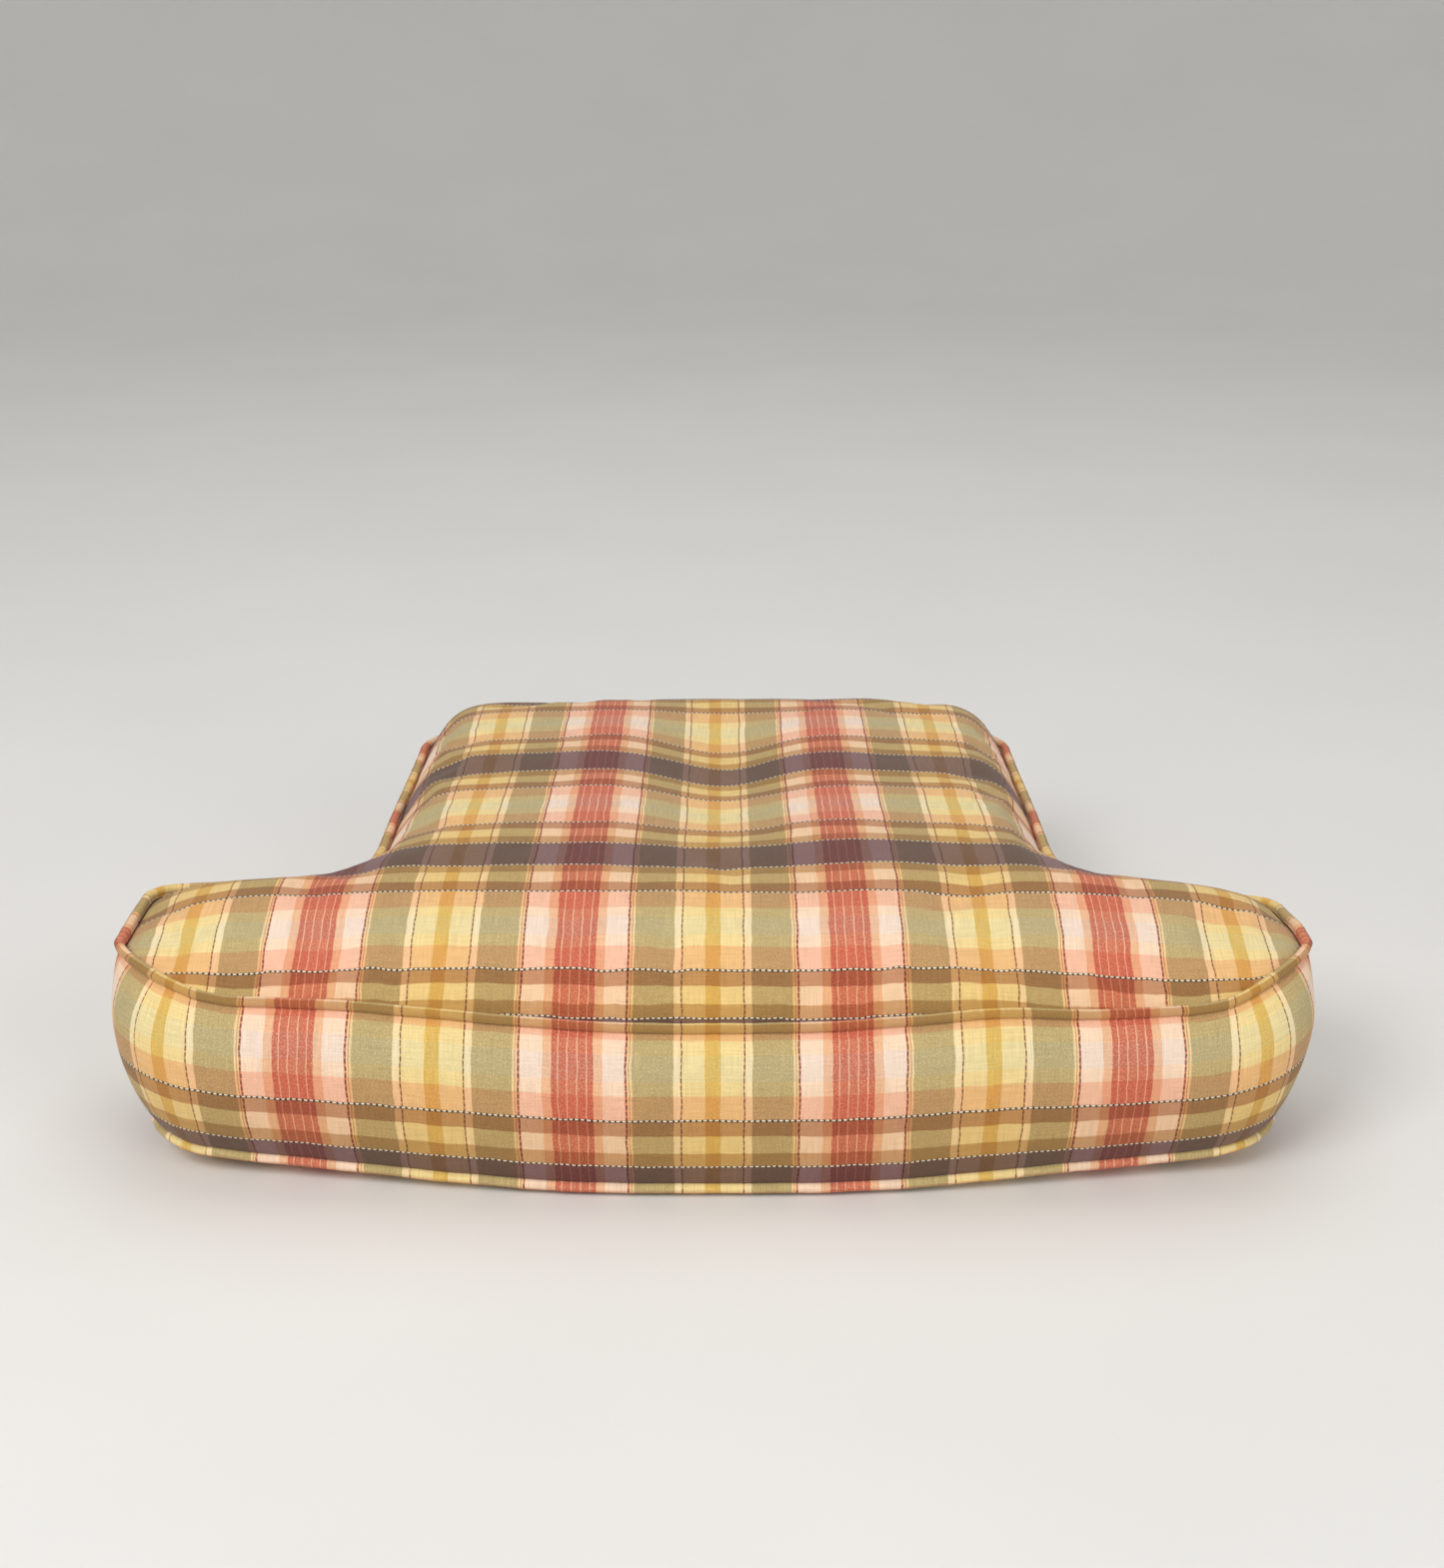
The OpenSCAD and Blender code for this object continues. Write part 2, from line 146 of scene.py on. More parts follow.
def round_outline(step=0.001):
    """The outline as points, outward normals, and each corner's arc as its (first, last) point."""
    corners = corner_table()
    points, normals, arcs = [], [], []
    for i, (x, y, radius) in enumerate(corners):
        here = np.array([x, y])
        into = unit(here - np.array(corners[i - 1][:2]))
        out = unit(np.array(corners[(i + 1) % len(corners)][:2]) - here)
        side = np.sign(into[0] * out[1] - into[1] * out[0])
        turn = math.acos(np.clip(into @ out, -1, 1))
        start = here - into * radius * math.tan(turn / 2)
        centre = start + side * radius * np.array([-into[1], into[0]])
        steps = math.ceil(radius * turn / step)
        first = len(points)
        for k in range(steps + 1):
            a = side * turn * k / steps
            spin = np.array([[math.cos(a), -math.sin(a)], [math.sin(a), math.cos(a)]])
            along = spin @ into
            points.append(centre + spin @ (start - centre))
            normals.append([along[1], -along[0]])
        arcs.append((first, len(points) - 1))
    return np.array(points), np.array(normals), arcs


PLAN, PLAN_NORMALS, ARCS = round_outline()
PLAN_STEPS = np.linalg.norm(np.roll(PLAN, -1, 0) - PLAN, axis=1)
ROUND = PLAN_STEPS.sum()
# Distance along the outline, which is 0 at the middle of the front and grows toward +X.
PLAN_S = np.concatenate([[0], np.cumsum(PLAN_STEPS)[:-1]])
PLAN_S -= PLAN_S[ARCS[0][0]] + (PLAN_S[ARCS[0][1]] - PLAN_S[ARCS[0][0]]) / 2


def plan(s):
    """(points, outward normals) of the fullest line at distances s."""
    turns = np.concatenate([PLAN_S - ROUND, PLAN_S, PLAN_S + ROUND])
    columns = [
        np.interp(s, turns, np.tile(values, 3))
        for values in (*PLAN.T, *PLAN_NORMALS.T)
    ]
    normals = np.stack(columns[2:], 1)
    return np.stack(columns[:2], 1), normals / np.linalg.norm(normals, axis=1)[:, None]


# The boxing's seams: in the middle of each notch, and at the ends of the zip.
NOTCH_S = (PLAN_S[ARCS[3][0]] + PLAN_S[ARCS[3][1]]) / 2
ZIP_S = PLAN_S[ARCS[4][1]] + PLAN[ARCS[4][1]][0] - ZIP_HALF


def frontness(y):
    """1 along the front and the ears, 0 along the body's sides and the rear."""
    return 1 - smooth(*EARS_END, y)


def upper_inset(points, normals):
    """How far the upper welt stands in from the fullest line."""
    ahead = np.clip(-normals[:, 1], 0, 1)
    aside = np.abs(normals[:, 0])
    front = UPPER_IN + UPPER_IN_AHEAD * ahead + aside * (UPPER_IN_ASIDE + UPPER_IN_CORNER * ahead)
    body = 0.010 - 0.005 * aside
    return mix(body, front, frontness(points[:, 1]))


def lower_inset(points):
    """How far the lower welt stands in from the fullest line; it tucks in under the ears."""
    ear = smooth(0.06, 0.36, np.abs(points[:, 0]))
    return mix(LOWER_IN_BODY, LOWER_IN + LOWER_IN_EAR * ear, frontness(points[:, 1]))


def upper_height(x, y):
    """Height of the upper welt: lowest at the front's middle, highest at the ears' corners."""
    out = np.abs(x)
    front = FRONT_WELT_Z + UPPER_RISE * smooth(0.04, 0.27, out)
    front = front + UPPER_CORNER_RISE * smooth(0.31, 0.405, out)
    front = front - UPPER_RIGHT_DIP * smooth(0.17, 0.26, x) * (1 - smooth(0.33, 0.41, x))
    # The right ear lies a little lower behind than the left one.
    back = FRONT_WELT_Z + UPPER_BACK_RISE
    back = back - 0.003 * smooth(0.32, 0.405, out) - 0.009 * smooth(0.27, 0.40, x)
    ear = mix(front, back, smooth(-0.19, -0.115, y))
    body = BODY_WELT_Z + UPPER_BODY_RISE * (1 - smooth(0.0, 0.25, y))
    return mix(ear, body, smooth(-0.105, 0.0, y))


def ear_lift(x, y):
    """How far the underside's edge rises toward the ears."""
    out = np.abs(x)
    rise = LOWER_RISE * smooth(0.06, 0.34, out) + LOWER_CORNER_RISE * smooth(0.31, 0.40, out)
    return rise * frontness(y)


def lower_height(x, y):
    return LOWER_WELT_Z + ear_lift(x, y)


def welt_line(s, upper):
    """(middle line of a welt, outward normals) at distances s."""
    points, normals = plan(s)
    inset = upper_inset(points, normals) if upper else lower_inset(points)
    line = points - normals * inset[:, None]
    height = upper_height(*line.T) if upper else lower_height(*line.T)
    sway = 0.0007 * ripple(np.stack([s, s * 0, s * 0], 1), 0.035, 3 + upper)
    sway = sway * frontness(points[:, 1])
    return np.column_stack([line, height + sway]), normals


# ------------------------------------------------------------------ Mesh helpers
def add_object(name, verts, faces, uv=None):
    """A smooth mesh object; uv has one row for each vertex."""
    mesh = bpy.data.meshes.new(name)
    mesh.from_pydata([tuple(v) for v in verts], [], [tuple(f) for f in faces])
    if uv is not None:
        corners = np.empty(len(mesh.loops), np.int64)
        mesh.loops.foreach_get("vertex_index", corners)
        layer = mesh.uv_layers.new(name=CLOTH_MAP)
        layer.data.foreach_set("uv", np.asarray(uv, np.float32)[corners].ravel())
    mesh.polygons.foreach_set("use_smooth", [True] * len(mesh.polygons))
    mesh.update()
    obj = bpy.data.objects.new(name, mesh)
    bpy.context.scene.collection.objects.link(obj)
    return obj


def finish_piece(obj, material, slot, *nodes, body=BODY):
    """Gives a piece its material and body, and hides the CAD nodes it stands for."""
    obj.data.materials.clear()
    obj.data.materials.append(material)
    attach(obj, body)
    if nodes:
        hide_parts(*nodes)


def coordinates(obj):
    flat = np.empty(len(obj.data.vertices) * 3)
    obj.data.vertices.foreach_get("co", flat)
    return flat.reshape(-1, 3)


def set_coordinates(obj, points):
    obj.data.vertices.foreach_set("co", np.asarray(points, np.float32).ravel())
    obj.data.update()


def normals_of(obj):
    flat = np.empty(len(obj.data.vertices) * 3)
    obj.data.vertex_normals.foreach_get("vector", flat)
    return flat.reshape(-1, 3)


def apply_modifiers(obj):
    graph = bpy.context.evaluated_depsgraph_get()
    solid = bpy.data.meshes.new_from_object(
        obj.evaluated_get(graph), preserve_all_data_layers=True, depsgraph=graph
    )
    obj.modifiers.clear()
    old, obj.data = obj.data, solid
    bpy.data.meshes.remove(old)


def subdivide(obj):
    obj.modifiers.new("subdivision", "SUBSURF").levels = 1
    apply_modifiers(obj)


def thicken(obj, thickness):
    """Gives a sheet its thickness, on the side away from its normals."""
    shell = obj.modifiers.new("thickness", "SOLIDIFY")
    shell.thickness = thickness
    shell.offset = -1
    shell.use_even_offset = False
    apply_modifiers(obj)


def grid_faces(rows, columns, closed=False):
    """Quads over a grid of rows by columns; closed joins the last column to the first."""
    quads = []
    for here in range(0, (rows - 1) * columns, columns):
        for c in range(columns if closed else columns - 1):
            d = (c + 1) % columns
            quads.append((here + c, here + d, here + columns + d, here + columns + c))
    return quads


def inside(points, loop):
    """Which points lie inside the closed loop."""
    x, y = points.T
    found = np.zeros(len(points), bool)
    for (x0, y0), (x1, y1) in zip(loop, np.roll(loop, -1, 0)):
        if y0 == y1:
            continue
        crosses = (y0 > y) != (y1 > y)
        found ^= crosses & (x < x0 + (y - y0) * (x1 - x0) / (y1 - y0))
    return found


def nearest(points, loop):
    """(distance to the loop's closest point, that point's number) for each point."""
    gaps = np.linalg.norm(points[:, None, :] - loop[None, :, :], axis=2)
    return gaps.min(1), gaps.argmin(1)


def flat_sheet(loop, spacing):
    """(points, triangles) of an even mesh inside the loop; the loop's points come first."""
    low, high = loop.min(0), loop.max(0)
    rise = spacing * math.sqrt(3) / 2
    rows = math.ceil((high[1] - low[1]) / rise) + 1
    half = math.ceil(high[0] / spacing) + 1
    lattice = np.array(
        [
            ((k + 0.5 * (row % 2)) * spacing, low[1] + row * rise)
            for row in range(rows)
            for k in range(-half, half)
        ]
    )
    lattice = lattice[inside(lattice, loop)]
    lattice = lattice[nearest(lattice, loop)[0] > 0.62 * spacing]
    flat = [Vector(p) for p in (*loop, *lattice)]
    ring = list(range(len(loop)))
    result = delaunay_2d_cdt(flat, [], [ring], 1, 1e-7)
    return np.array([tuple(p) for p in result[0]]), [tuple(f) for f in result[2]]


class Links:
    """The edges of a sheet, for averages over each point's neighbours."""

    def __init__(self, points, faces):
        f = np.array(faces)
        pairs = np.concatenate([f[:, [0, 1]], f[:, [1, 2]], f[:, [2, 0]]])
        pairs = np.unique(np.sort(pairs, 1), axis=0)
        self.a = np.concatenate([pairs[:, 0], pairs[:, 1]])
        self.b = np.concatenate([pairs[:, 1], pairs[:, 0]])
        self.count = len(points)
        degree = np.bincount(self.a, minlength=self.count)
        length = np.linalg.norm(points[self.a] - points[self.b], axis=1)
        self.weight = 4 / degree[self.a] / length**2
        self.total = np.bincount(self.a, self.weight, self.count)

    def pull(self, values):
        return np.bincount(self.a, self.weight * values[self.b], self.count)


def stretch_over(points, faces, edge_z, pad_z, reach, passes=500):
    """Heights of a cloth that is held at its edge and pressed out toward the pad's height.

    reach is the distance over which it climbs away from the edge, for each point.
    """
    links = Links(points, faces)
    fixed = len(edge_z)
    z = pad_z.copy()
    z[:fixed] = edge_z
    for _ in range(passes):
        z = (reach**2 * links.pull(z) + pad_z) / (1 + reach**2 * links.total)
        z[:fixed] = edge_z
    return z


def settle(obj, held, pressure, slack, cap, frames=20):
    """Runs a short cloth simulation: held points stay, the cloth has that much slack, and no point
    moves further than cap."""
    start = coordinates(obj)
    group = obj.vertex_groups.new(name="held")
    group.add([int(i) for i in held], 1.0, "REPLACE")
    cloth = obj.modifiers.new("cloth", "CLOTH")
    cloth.settings.quality = 6
    cloth.settings.mass = 0.25
    cloth.settings.tension_stiffness = 25
    cloth.settings.compression_stiffness = 25
    cloth.settings.shear_stiffness = 8
    cloth.settings.bending_stiffness = 0.35
    cloth.settings.air_damping = 4
    cloth.settings.vertex_group_mass = "held"
    cloth.settings.shrink_min = -slack
    cloth.settings.use_pressure = True
    cloth.settings.uniform_pressure_force = pressure
    cloth.settings.effector_weights.gravity = 0
    cloth.collision_settings.use_collision = False
    cloth.point_cache.frame_end = frames
    for moment in range(1, frames + 1):
        bpy.context.scene.frame_set(moment)
    apply_modifiers(obj)
    bpy.context.scene.frame_set(1)
    moved = coordinates(obj) - start
    far = np.linalg.norm(moved, axis=1, keepdims=True)
    set_coordinates(obj, start + moved * np.minimum(1, cap / np.maximum(far, 1e-9)))


# ------------------------------------------------------------------ Materials
def linear(r, g, b):
    """An sRGB colour from 0 to 255 as linear values."""
    parts = [c / 255 for c in (r, g, b)]
    return [c / 12.92 if c <= 0.04045 else ((c + 0.055) / 1.055) ** 2.4 for c in parts] + [1]


class Nodes:
    """Short ways to add nodes to one material."""

    def __init__(self, name, roughness, sheen=0.0, metallic=0.0):
        self.material = bpy.data.materials.new(name)
        self.material.use_nodes = True
        self.tree = self.material.node_tree
        self.shader = self.tree.nodes["Principled BSDF"]
        self.shader.inputs["Roughness"].default_value = roughness
        self.shader.inputs["Metallic"].default_value = metallic
        self.shader.inputs["Sheen Weight"].default_value = sheen
        self.shader.inputs["Sheen Roughness"].default_value = 0.5

    def link(self, value, socket):
        if isinstance(value, bpy.types.NodeSocket):
            self.tree.links.new(value, socket)
        else:
            socket.default_value = value

    def math(self, operation, a, b=0.0, c=0.0):
        node = self.tree.nodes.new("ShaderNodeMath")
        node.operation = operation
        for value, socket in zip((a, b, c), node.inputs):
            self.link(value, socket)
        return node.outputs[0]

    def mix(self, factor, a, b, blend="MIX"):
        node = self.tree.nodes.new("ShaderNodeMix")
        node.data_type = "RGBA"
        node.blend_type = blend
        self.link(factor, node.inputs[0])
        self.link(a, node.inputs[6])
        self.link(b, node.inputs[7])
        return node.outputs[2]

    def ramp(self, factor, stops, stepped=False):
        """stops are (position, colour)."""
        node = self.tree.nodes.new("ShaderNodeValToRGB")
        node.color_ramp.interpolation = "CONSTANT" if stepped else "LINEAR"
        elements = node.color_ramp.elements
        while len(elements) < len(stops):
            elements.new(1.0)
        for element, (position, colour) in zip(elements, stops):
            element.position = position
            element.color = colour
        self.link(factor, node.inputs[0])
        return node.outputs[0]

    def noise(self, vector, scale, detail=2.0):
        node = self.tree.nodes.new("ShaderNodeTexNoise")
        node.inputs["Scale"].default_value = scale
        node.inputs["Detail"].default_value = detail
        self.link(vector, node.inputs["Vector"])
        return node.outputs[0]

    def scaled(self, vector, scale):
        node = self.tree.nodes.new("ShaderNodeMapping")
        node.inputs["Scale"].default_value = scale
        self.link(vector, node.inputs["Vector"])
        return node.outputs[0]

    def uv(self):
        node = self.tree.nodes.new("ShaderNodeUVMap")
        node.uv_map = CLOTH_MAP
        return node.outputs[0]

    def object_place(self):
        return self.tree.nodes.new("ShaderNodeTexCoord").outputs["Object"]

    def split(self, vector):
        node = self.tree.nodes.new("ShaderNodeSeparateXYZ")
        self.link(vector, node.inputs[0])
        return node.outputs[0], node.outputs[1]

    def bump(self, height, distance, strength=1.0):
        node = self.tree.nodes.new("ShaderNodeBump")
        node.inputs["Strength"].default_value = strength
        node.inputs["Distance"].default_value = distance
        self.link(height, node.inputs["Height"])
        self.link(node.outputs[0], self.shader.inputs["Normal"])

    def colour(self, value):
        self.link(value, self.shader.inputs["Base Color"])


# Half a repeat of the warp, from the middle of a red stripe to the middle of a mustard stripe. Each row
# is (width as a share of a repeat, colour on the pale weft) and, for a dashed yarn, its other colour.
WARP = [
    (0.0142, linear(204, 106, 80)),
    (0.0050, linear(238, 180, 154)),
    (0.0278, linear(202, 102, 76)),
    (0.0050, linear(238, 180, 154)),
    (0.0208, linear(199, 97, 72)),
    (0.0340, linear(235, 183, 149)),
    (0.0800, linear(246, 217, 198)),
    (0.0066, linear(136, 60, 34), linear(206, 128, 96)),
    (0.0060, linear(240, 206, 160)),
    (0.0045, linear(196, 150, 100)),
    (0.0080, linear(240, 206, 158)),
    (0.1465, linear(184, 164, 112)),
    (0.0250, linear(243, 221, 176)),
    (0.0066, linear(122, 80, 36), linear(206, 156, 92)),
    (0.0824, linear(237, 214, 152)),
    (0.0276, linear(219, 180, 84)),
]
# Half a repeat of the weft, from the middle of a dark band to the middle of a pale one. Each row is
# (width, how much of the warp's colour it lets through) and True for a yarn with pale dots.
WEFT = [
    (0.1000, (0.52, 0.43, 0.465)),
    (0.0030, (0.25, 0.20, 0.20)),
    (0.0050, (0.36, 0.30, 0.28), True),
    (0.0570, (0.82, 0.70, 0.52)),
    (0.0740, (0.97, 0.915, 0.80)),
    (0.0590, (0.79, 0.64, 0.505)),
    (0.0035, (0.24, 0.18, 0.15)),
    (0.0055, (0.34, 0.28, 0.24), True),
    (0.0950, (0.985, 0.862, 0.79)),
    (0.0530, (1.00, 0.985, 0.93)),
    (0.0450, (0.975, 0.99, 0.99)),
]
# Length of one dash or dot with its gap, and the gap's share of it.
WARP_DASH, WARP_DASH_GAP = 0.0046, 0.7
WEFT_DOT, WEFT_DOT_GAP = 0.0037, 0.42
PALE_YARN = linear(250, 234, 204)
FLECK = linear(244, 220, 190)
TWILL_PITCH = 0.0017


def band_stops(bands, colour_of):
    """Colour ramp stops over half a repeat."""
    stops, at = [], 0.0
    for width, *rest in bands:
        stops.append((at / 0.5, colour_of(rest)))
        at += width
    return stops


def dashes(n, lengthwise, pitch, gap):
    """1 on the dashes of a yarn and 0 in the gaps between them."""
    return n.math("GREATER_THAN", n.math("FRACT", n.math("DIVIDE", lengthwise, pitch)), gap)


def dotted_yarns(n, place, across):
    """1 on the pale dots of the weft's dotted yarns."""
    found, at = 0.0, 0.0
    for width, *rest in WEFT:
        if rest[-1] is True:
            found = n.math("ADD", found, n.math("COMPARE", place, at + width / 2, width / 2))
        at += width
    return n.math("MULTIPLY", found, dashes(n, across, WEFT_DOT, WEFT_DOT_GAP))


def plaid_material(name):
    n = Nodes(name, roughness=0.82, sheen=0.12)
    across, along = n.split(n.uv())
    # Yarns wander by a fraction of a millimetre, so that no stripe has a ruled edge.
    wander = n.noise(n.scaled(n.uv(), (60, 60, 1)), 1.0, 3.0)
    drift = n.math("MULTIPLY_ADD", wander, 0.0022, -0.0011)
    across = n.math("ADD", across, drift)
    along = n.math("ADD", along, drift)
    # The warp's ramp starts at a red stripe, half a repeat from the mustard one on the middle line.
    from_red = n.math("SUBTRACT", 0.5, n.math("PINGPONG", n.math("DIVIDE", across, REPEAT_X), 0.5))
    from_dark = n.math("PINGPONG", n.math("DIVIDE", along, REPEAT_Y), 0.5)
    # A ramp runs from 0 to 1 over half a repeat.
    warp_place, weft_place = n.math("MULTIPLY", from_red, 2.0), n.math("MULTIPLY", from_dark, 2.0)
    solid = n.ramp(warp_place, band_stops(WARP, lambda colours: colours[0]), stepped=True)
    dashed = n.ramp(warp_place, band_stops(WARP, lambda colours: colours[-1]), stepped=True)
    warp = n.mix(dashes(n, along, WARP_DASH, WARP_DASH_GAP), solid, dashed)
    shares = band_stops(WEFT, lambda row: linear(*[255 * v for v in row[0]]))
    weft = n.ramp(weft_place, shares, stepped=True)
    crossed = n.mix(1.0, warp, weft, "MULTIPLY")

    # Twill: fine diagonal ribs, with single yarns that are a little lighter or darker.
    ribs = n.math("SINE", n.math("MULTIPLY", n.math("ADD", across, along), 2 * math.pi / TWILL_PITCH))
    rib = n.math("MULTIPLY_ADD", ribs, 0.5, 0.5)
    warp_yarn = n.noise(n.scaled(n.uv(), (1500, 45, 1)), 1.0, 2.0)
    weft_yarn = n.noise(n.scaled(n.uv(), (45, 1500, 1)), 1.0, 2.0)
    yarn = n.math("ADD", warp_yarn, weft_yarn)
    shade = n.math("MULTIPLY_ADD", yarn, 0.50, 0.46)
    shade = n.math("MULTIPLY_ADD", rib, 0.09, shade)
    grey = n.tree.nodes.new("ShaderNodeCombineColor")
    for socket in grey.inputs[:3]:
        n.link(shade, socket)
    # Pale flecks, where single weft yarns pass over the darker stripes.
    flecks = n.noise(n.scaled(n.uv(), (1000, 800, 1)), 1.0, 1.0)
    flecks = n.ramp(flecks, [(0.45, (0, 0, 0, 1)), (0.70, (0.34, 0.34, 0.34, 1))])
    crossed = n.mix(flecks, crossed, n.mix(1.0, weft, FLECK, "MULTIPLY"))
    crossed = n.mix(dotted_yarns(n, from_dark, across), crossed, PALE_YARN)
    n.colour(n.mix(1.0, crossed, grey.outputs[0], "MULTIPLY"))
    n.bump(n.math("ADD", n.math("MULTIPLY", rib, 0.6), n.math("MULTIPLY", yarn, 0.5)), 0.00035, 0.6)
    return n.material


def soft_material(name, light, dark, scale, roughness=0.9, sheen=0.2, bump=0.0006):
    """Foam, fibre, cord and thread: two close tones and a fine uneven surface."""
    n = Nodes(name, roughness, sheen)
    grain = n.noise(n.object_place(), scale, 4.0)
    n.colour(n.ramp(grain, [(0.35, linear(*dark)), (0.65, linear(*light))]))
    n.bump(grain, bump)
    return n.material


def metal_material(name, tone, roughness):
    n = Nodes(name, roughness, metallic=1.0)
    worn = n.noise(n.object_place(), 900, 3.0)
    pale = [min(255, c + 26) for c in tone]
    n.colour(n.ramp(worn, [(0.3, linear(*tone)), (0.75, linear(*pale))]))
    n.link(n.math("MULTIPLY_ADD", worn, 0.2, roughness - 0.1), n.shader.inputs["Roughness"])
    n.bump(worn, 0.00004)
    return n.material


PLAID = plaid_material("plaid_cloth")
PLAID_WELT = plaid_material("plaid_welt")
FOAM = soft_material("foam", (238, 222, 170), (222, 202, 150), 700)
FIBRE = soft_material("fibre", (246, 246, 242), (226, 226, 224), 260, sheen=0.4)
COTTON = soft_material("welt_cord", (238, 232, 214), (214, 206, 186), 900)
TAPE = soft_material("zip_tape", (176, 146, 100), (150, 122, 82), 1400)
COIL = soft_material("zip_coil", (122, 84, 48), (98, 66, 38), 500, roughness=0.4, sheen=0)
THREAD = soft_material("thread", (196, 182, 128), (168, 152, 104), 2500)
BRASS = metal_material("zip_metal", (176, 140, 82), 0.32)


# ------------------------------------------------------------------ Top panel
FRONT_CLIMB = 0.050
SIDE_CLIMB = 0.017
REAR_CLIMB = 0.018
PANEL_SPACING = 0.008
COARSE_SPACING = 0.016
PANEL_SPREAD = 0.036
# The panels' edges lie inside the welts' middle lines, and below them.
PANEL_EDGE_IN = 0.0036
TOP_EDGE_DOWN = 0.0035
BOTTOM_EDGE_DOWN = 0.0012
# The crown: how far it rises over the front welt, and how far it falls behind and over the ears.
CROWN_RISE, CROWN_REAR_FALL, CROWN_EAR_FALL = 0.0545, 0.002, 0.010
VALLEY_X, VALLEY_WIDTH, VALLEY_DEPTH = 0.006, 0.046, 0.0130
CREST_WIDTH, CREST_HEIGHT = 0.040, 0.0036
# The front seam's depth behind the fullest line, and the cloth's rise and fall along the middle line.
FRONT_SEAM_IN, MIDDLE_RISE, MIDDLE_FALL = 0.0185, 0.055, 0.038
# The plaid's place at the front seam, and how far the seam draws the cloth down there.
PLAID_START, FRONT_DRAW, FRONT_DRAW_REACH = 0.012, 0.008, 0.012


def climb_at(y):
    """How gently the crown rises: slowly behind the front welt, fast at the sides and the rear."""
    side = mix(FRONT_CLIMB, SIDE_CLIMB, smooth(-0.22, -0.12, y))
    return mix(side, REAR_CLIMB, smooth(0.10, 0.25, y))


def pad_height(x, y):
    """How high the filling would push the top panel if no seam held it."""
    behind = y - FRONT_Y
    high = FRONT_WELT_Z + CROWN_RISE - CROWN_REAR_FALL * smooth(0.15, 0.50, behind)
    return high - CROWN_EAR_FALL * smooth(0.30, 0.41, np.abs(x))


def crown_waves(points, gap):
    """The valley, the crests and the soft waves of a cushion that has been sat on."""
    x, y = points.T
    flat = np.column_stack([points, np.zeros(len(points))])
    seat = smooth(-0.22, 0.05, y) * (1 - smooth(0.12, 0.24, y))
    valley = -VALLEY_DEPTH * bell(x - VALLEY_X, VALLEY_WIDTH) * seat
    crests = bell(x - 0.090, CREST_WIDTH) + bell(x + 0.092, CREST_WIDTH)
    crests = CREST_HEIGHT * crests * seat
    lanes = 0.0016 * ripple(flat * [1.0, 0.40, 1], 0.070, 1)
    folds = 0.0016 * ripple(flat * [0.8, 1.3, 1], 0.040, 2) * smooth(-0.26, -0.16, y)
    return (valley + crests + lanes + folds) * (1 - np.exp(-gap / 0.022))


def warp_length(y):
    """Length of cloth from the front seam to depth y, along the panel's middle."""
    depth = np.linspace(FRONT_Y, REAR_Y, 600)
    seam = FRONT_Y + FRONT_SEAM_IN
    climb = MIDDLE_RISE / FRONT_CLIMB * np.exp(-np.clip(depth - seam, 0, 1) / FRONT_CLIMB)
    fall = MIDDLE_FALL / REAR_CLIMB * np.exp(-np.clip(REAR_Y - 0.01 - depth, 0, 1) / REAR_CLIMB)
    length = np.concatenate([[0], np.cumsum(np.hypot(1, climb - fall)[:-1] * np.diff(depth))])
    return np.interp(y, depth, length) - np.interp(seam, depth, length)


def seat_spread(x, y):
    """Where use has spread the cloth across: most in the middle near the front."""
    return (1 - smooth(-0.20, 0.16, y)) * (1 - smooth(0.12, 0.31, np.abs(x)))


def panel_edge(count, upper, down):
    """The closed edge of a panel beside its welt, that far below the welt's middle line."""
    s = np.linspace(-ROUND / 2, ROUND / 2, count, endpoint=False)
    line, normals = welt_line(s, upper)
    line[:, :2] -= normals * PANEL_EDGE_IN
    line[:, 2] -= down
    return line


def build_top_panel():
    count = round(ROUND / PANEL_SPACING)
    edge = panel_edge(count, True, TOP_EDGE_DOWN)
    points, faces = flat_sheet(edge[:, :2], PANEL_SPACING)
    gap, _ = nearest(points, edge[:, :2])
    pad = pad_height(*points.T)
    z = stretch_over(points, faces, edge[:, 2], pad, climb_at(points[:, 1]))
    z[count:] += crown_waves(points, gap)[count:]
    across = points[:, 0] / (1 + PANEL_SPREAD * seat_spread(*points.T))
    # The seam draws the cloth down in front, so that the next dark band just shows there.
    drawn = FRONT_DRAW * np.exp(-gap / FRONT_DRAW_REACH) * (points[:, 1] < -0.2)
    uv = np.column_stack([across, warp_length(points[:, 1]) + PLAID_START - drawn])
    obj = add_object("top_panel_cloth", np.column_stack([points, z]), faces, uv)
    settle(obj, range(count), pressure=0.7, slack=0.012, cap=0.003)
    subdivide(obj)
    pucker_panel(obj, edge[:, :2])
    thicken(obj, CLOTH_T)
    finish_piece(obj, PLAID, "plaid_cloth", "top_panel")
    return obj


def pucker_panel(obj, edge):
    """Small puckers where the stitches gather the panel against the welt."""
    points = coordinates(obj)
    gap, near = nearest(points[:, :2], edge)
    s = near / len(edge) * ROUND
    spread = np.column_stack([s, gap * 0.35, gap * 0])
    depth = 0.0011 * np.exp(-gap / 0.016) * (1 - np.exp(-gap / 0.003))
    points[:, 2] += depth * ripple(spread, 0.0085, 5)
    set_coordinates(obj, points)


# ------------------------------------------------------------------ Bottom panel
BOTTOM_CLIMB = 0.012


